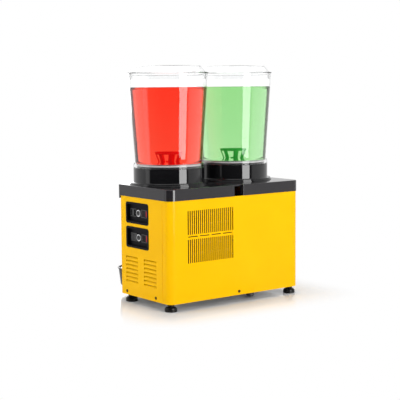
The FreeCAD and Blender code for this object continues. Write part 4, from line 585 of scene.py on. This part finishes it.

# %% [markdown]
# ## Painted shade in the grille's slots
#
# The sideways faces of the narrow slots are painted dark: painted shade for the shadow in the slots.
# They are found by where they are, in the rear wall, and by facing sideways, which nothing else does
# there.

# %% Cut edges
REAR_WALL_FROM = 0.1995
CORNERS_FROM = 0.21
SLOT_PAINTED_SHADE = (0.10, 0.065, 0.015)

tree = finishes["yellow_case"].node_tree
cut = tree.nodes.new("ShaderNodeNewGeometry")
facing = parts(tree, cut.outputs["Normal"])
at = parts(tree, cut.outputs["Position"])
sideways = ramp(tree, maths(tree, "ABSOLUTE", facing["X"]), 0.8, 0.9, 0.0, 1.0)
in_rear_wall = maths(tree, "GREATER_THAN", at["Y"], REAR_WALL_FROM)
off_corners = maths(tree, "LESS_THAN", maths(tree, "ABSOLUTE", at["X"]), CORNERS_FROM)
in_grille = maths(tree, "MULTIPLY", in_rear_wall, off_corners)
# Painted shade: the slot sides are darkened where shadow falls inside the slots.
lay_over(tree, maths(tree, "MULTIPLY", sideways, in_grille), SLOT_PAINTED_SHADE)
print("cut edges are dark")

# %% [markdown]
# ## The drink
#
# Each bowl is filled to a little below its rim with a coloured drink. It is a closed shape turned
# on the bowl's axis: across the cooled plate, up round the plate's post, up the inside of the wall,
# and over the top, where the drink creeps up the wall a little. Its side reaches a hair into the
# wall, which is how a renderer knows that drink and wall touch. The colour is in the volume: the
# longer the way through the drink, the deeper it gets. The thin dark rim at its edge is painted
# shade, laid into the colour where a full glass looks dark at its edge.

# %% Drink shape
DRINK_LEVEL = 0.6385
CREEP = 0.0006
WALL_GAP = 0.0003
WETTING = 0.0006
FOOT_ROUND = 0.0008
POST_TOP, POST_RADIUS = 0.422, 0.004
INNER = ((0.0967, 0.41415), (0.0969, 0.4152), (0.1148, 0.6795))
WALL_STEPS = 24
SEGMENTS = 160


def drink_profile():
    """Radius and height pairs: over the post, down and out along the plate, and up the wall."""
    foot, low, high = INNER
    slope = (high[0] - low[0]) / (high[1] - low[1])
    over_post, beside_post = POST_TOP + WALL_GAP, POST_RADIUS + WALL_GAP
    points = [(0.0, over_post), (beside_post, over_post), (beside_post, foot[1]),
              (foot[0] - FOOT_ROUND, foot[1]), (foot[0], foot[1] + FOOT_ROUND)]
    top = DRINK_LEVEL + CREEP
    for i in range(WALL_STEPS + 1):
        z = low[1] + (top - low[1]) * i / WALL_STEPS
        points.append((low[0] + slope * (z - low[1]) + WETTING, z))
    edge = points[-1][0]
    for back, drop in ((0.0006, 0.0003), (0.002, 0.0005), (0.005, 0.0006)):
        points.append((edge - back, top - drop))
    points.append((0.0, DRINK_LEVEL))
    return points


def lathe(name, profile, centre):
    """A closed body turned from a profile round an upright axis."""
    mesh = bmesh.new()
    rings = []
    for radius, z in profile:
        if radius == 0:
            rings.append([mesh.verts.new((centre[0], centre[1], z))])
            continue
        turns = [2 * math.pi * i / SEGMENTS for i in range(SEGMENTS)]
        rings.append([mesh.verts.new((centre[0] + radius * math.cos(turn),
                                      centre[1] + radius * math.sin(turn), z))
                      for turn in turns])
    for lower, upper in zip(rings, rings[1:]):
        for i in range(SEGMENTS):
            j = (i + 1) % SEGMENTS
            corners = [lower[i % len(lower)], lower[j % len(lower)],
                       upper[j % len(upper)], upper[i % len(upper)]]
            mesh.faces.new(list(dict.fromkeys(corners)))
    bmesh.ops.recalc_face_normals(mesh, faces=mesh.faces)
    data = bpy.data.meshes.new(name)
    mesh.to_mesh(data)
    mesh.free()
    for face in data.polygons:
        face.use_smooth = True
    body = bpy.data.objects.new(name, data)
    bpy.context.scene.collection.objects.link(body)
    print(name, "faces:", len(data.polygons))
    return body


# %% [markdown]
# ## Colour, painted rim shade and place of the drink
#
# Each drink gets its colour from what its volume lets through, in red, green and blue, and from how
# dense it is. The dark rim is painted shade laid over the walls that turn away from the eye. It stays
# off the level top, and off the faces seen from inside. Each drink then belongs to its bowl and moves
# with it.

# %% Drink colours
BOWL_Y = 0.03245
DRINKS = (("left", -0.1235, (0.62, 0.89, 0.56), 13.5),
          ("right", 0.1235, (0.997, 0.20, 0.0), 18.0))
RIM_FROM, RIM_FULL = 0.236, 0.262
WALL_TO, LEVEL_FROM = 0.35, 0.6
RIM_PAINTED_SHADE = (0.02, 0.016, 0.012)

for side, centre_x, see_through, density in DRINKS:
    shown = lathe("drink_" + side, drink_profile(), (centre_x, BOWL_Y))
    colour = finish("drink_" + side, (1.0, 1.0, 1.0), (0.985, 0.985, 0.985), 0.0, 0.0, 40.0, 0.0,
                    plain={"Transmission Weight": 1.0, "IOR": 1.33,
                           "Specular Tint": (0.0, 0.0, 0.0, 1.0)})
    tree = colour.node_tree
    body = tree.nodes.new("ShaderNodeVolumeAbsorption")
    body.inputs["Color"].default_value = (*see_through, 1)
    body.inputs["Density"].default_value = density
    tree.links.new(body.outputs["Volume"], tree.nodes["Material Output"].inputs["Volume"])
    # Painted shade: a dark rim laid into the drink's colour where its walls turn away from the eye.
    edge = tree.nodes.new("ShaderNodeLayerWeight")
    edge.inputs["Blend"].default_value = 0.5
    skin = tree.nodes.new("ShaderNodeNewGeometry")
    steep = maths(tree, "ABSOLUTE", parts(tree, skin.outputs["Normal"])["Z"])
    on_wall = maths(tree, "MULTIPLY", ramp(tree, steep, WALL_TO, LEVEL_FROM, 1.0, 0.0),
                    maths(tree, "SUBTRACT", 1.0, skin.outputs["Backfacing"]))
    rim_shade_mask = ramp(tree, edge.outputs["Facing"], RIM_FROM, RIM_FULL, 0.0, 1.0)
    lay_over(tree, maths(tree, "MULTIPLY", rim_shade_mask, on_wall), RIM_PAINTED_SHADE)
    shown.data.materials.append(colour)
    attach(shown, "bowl_" + side)
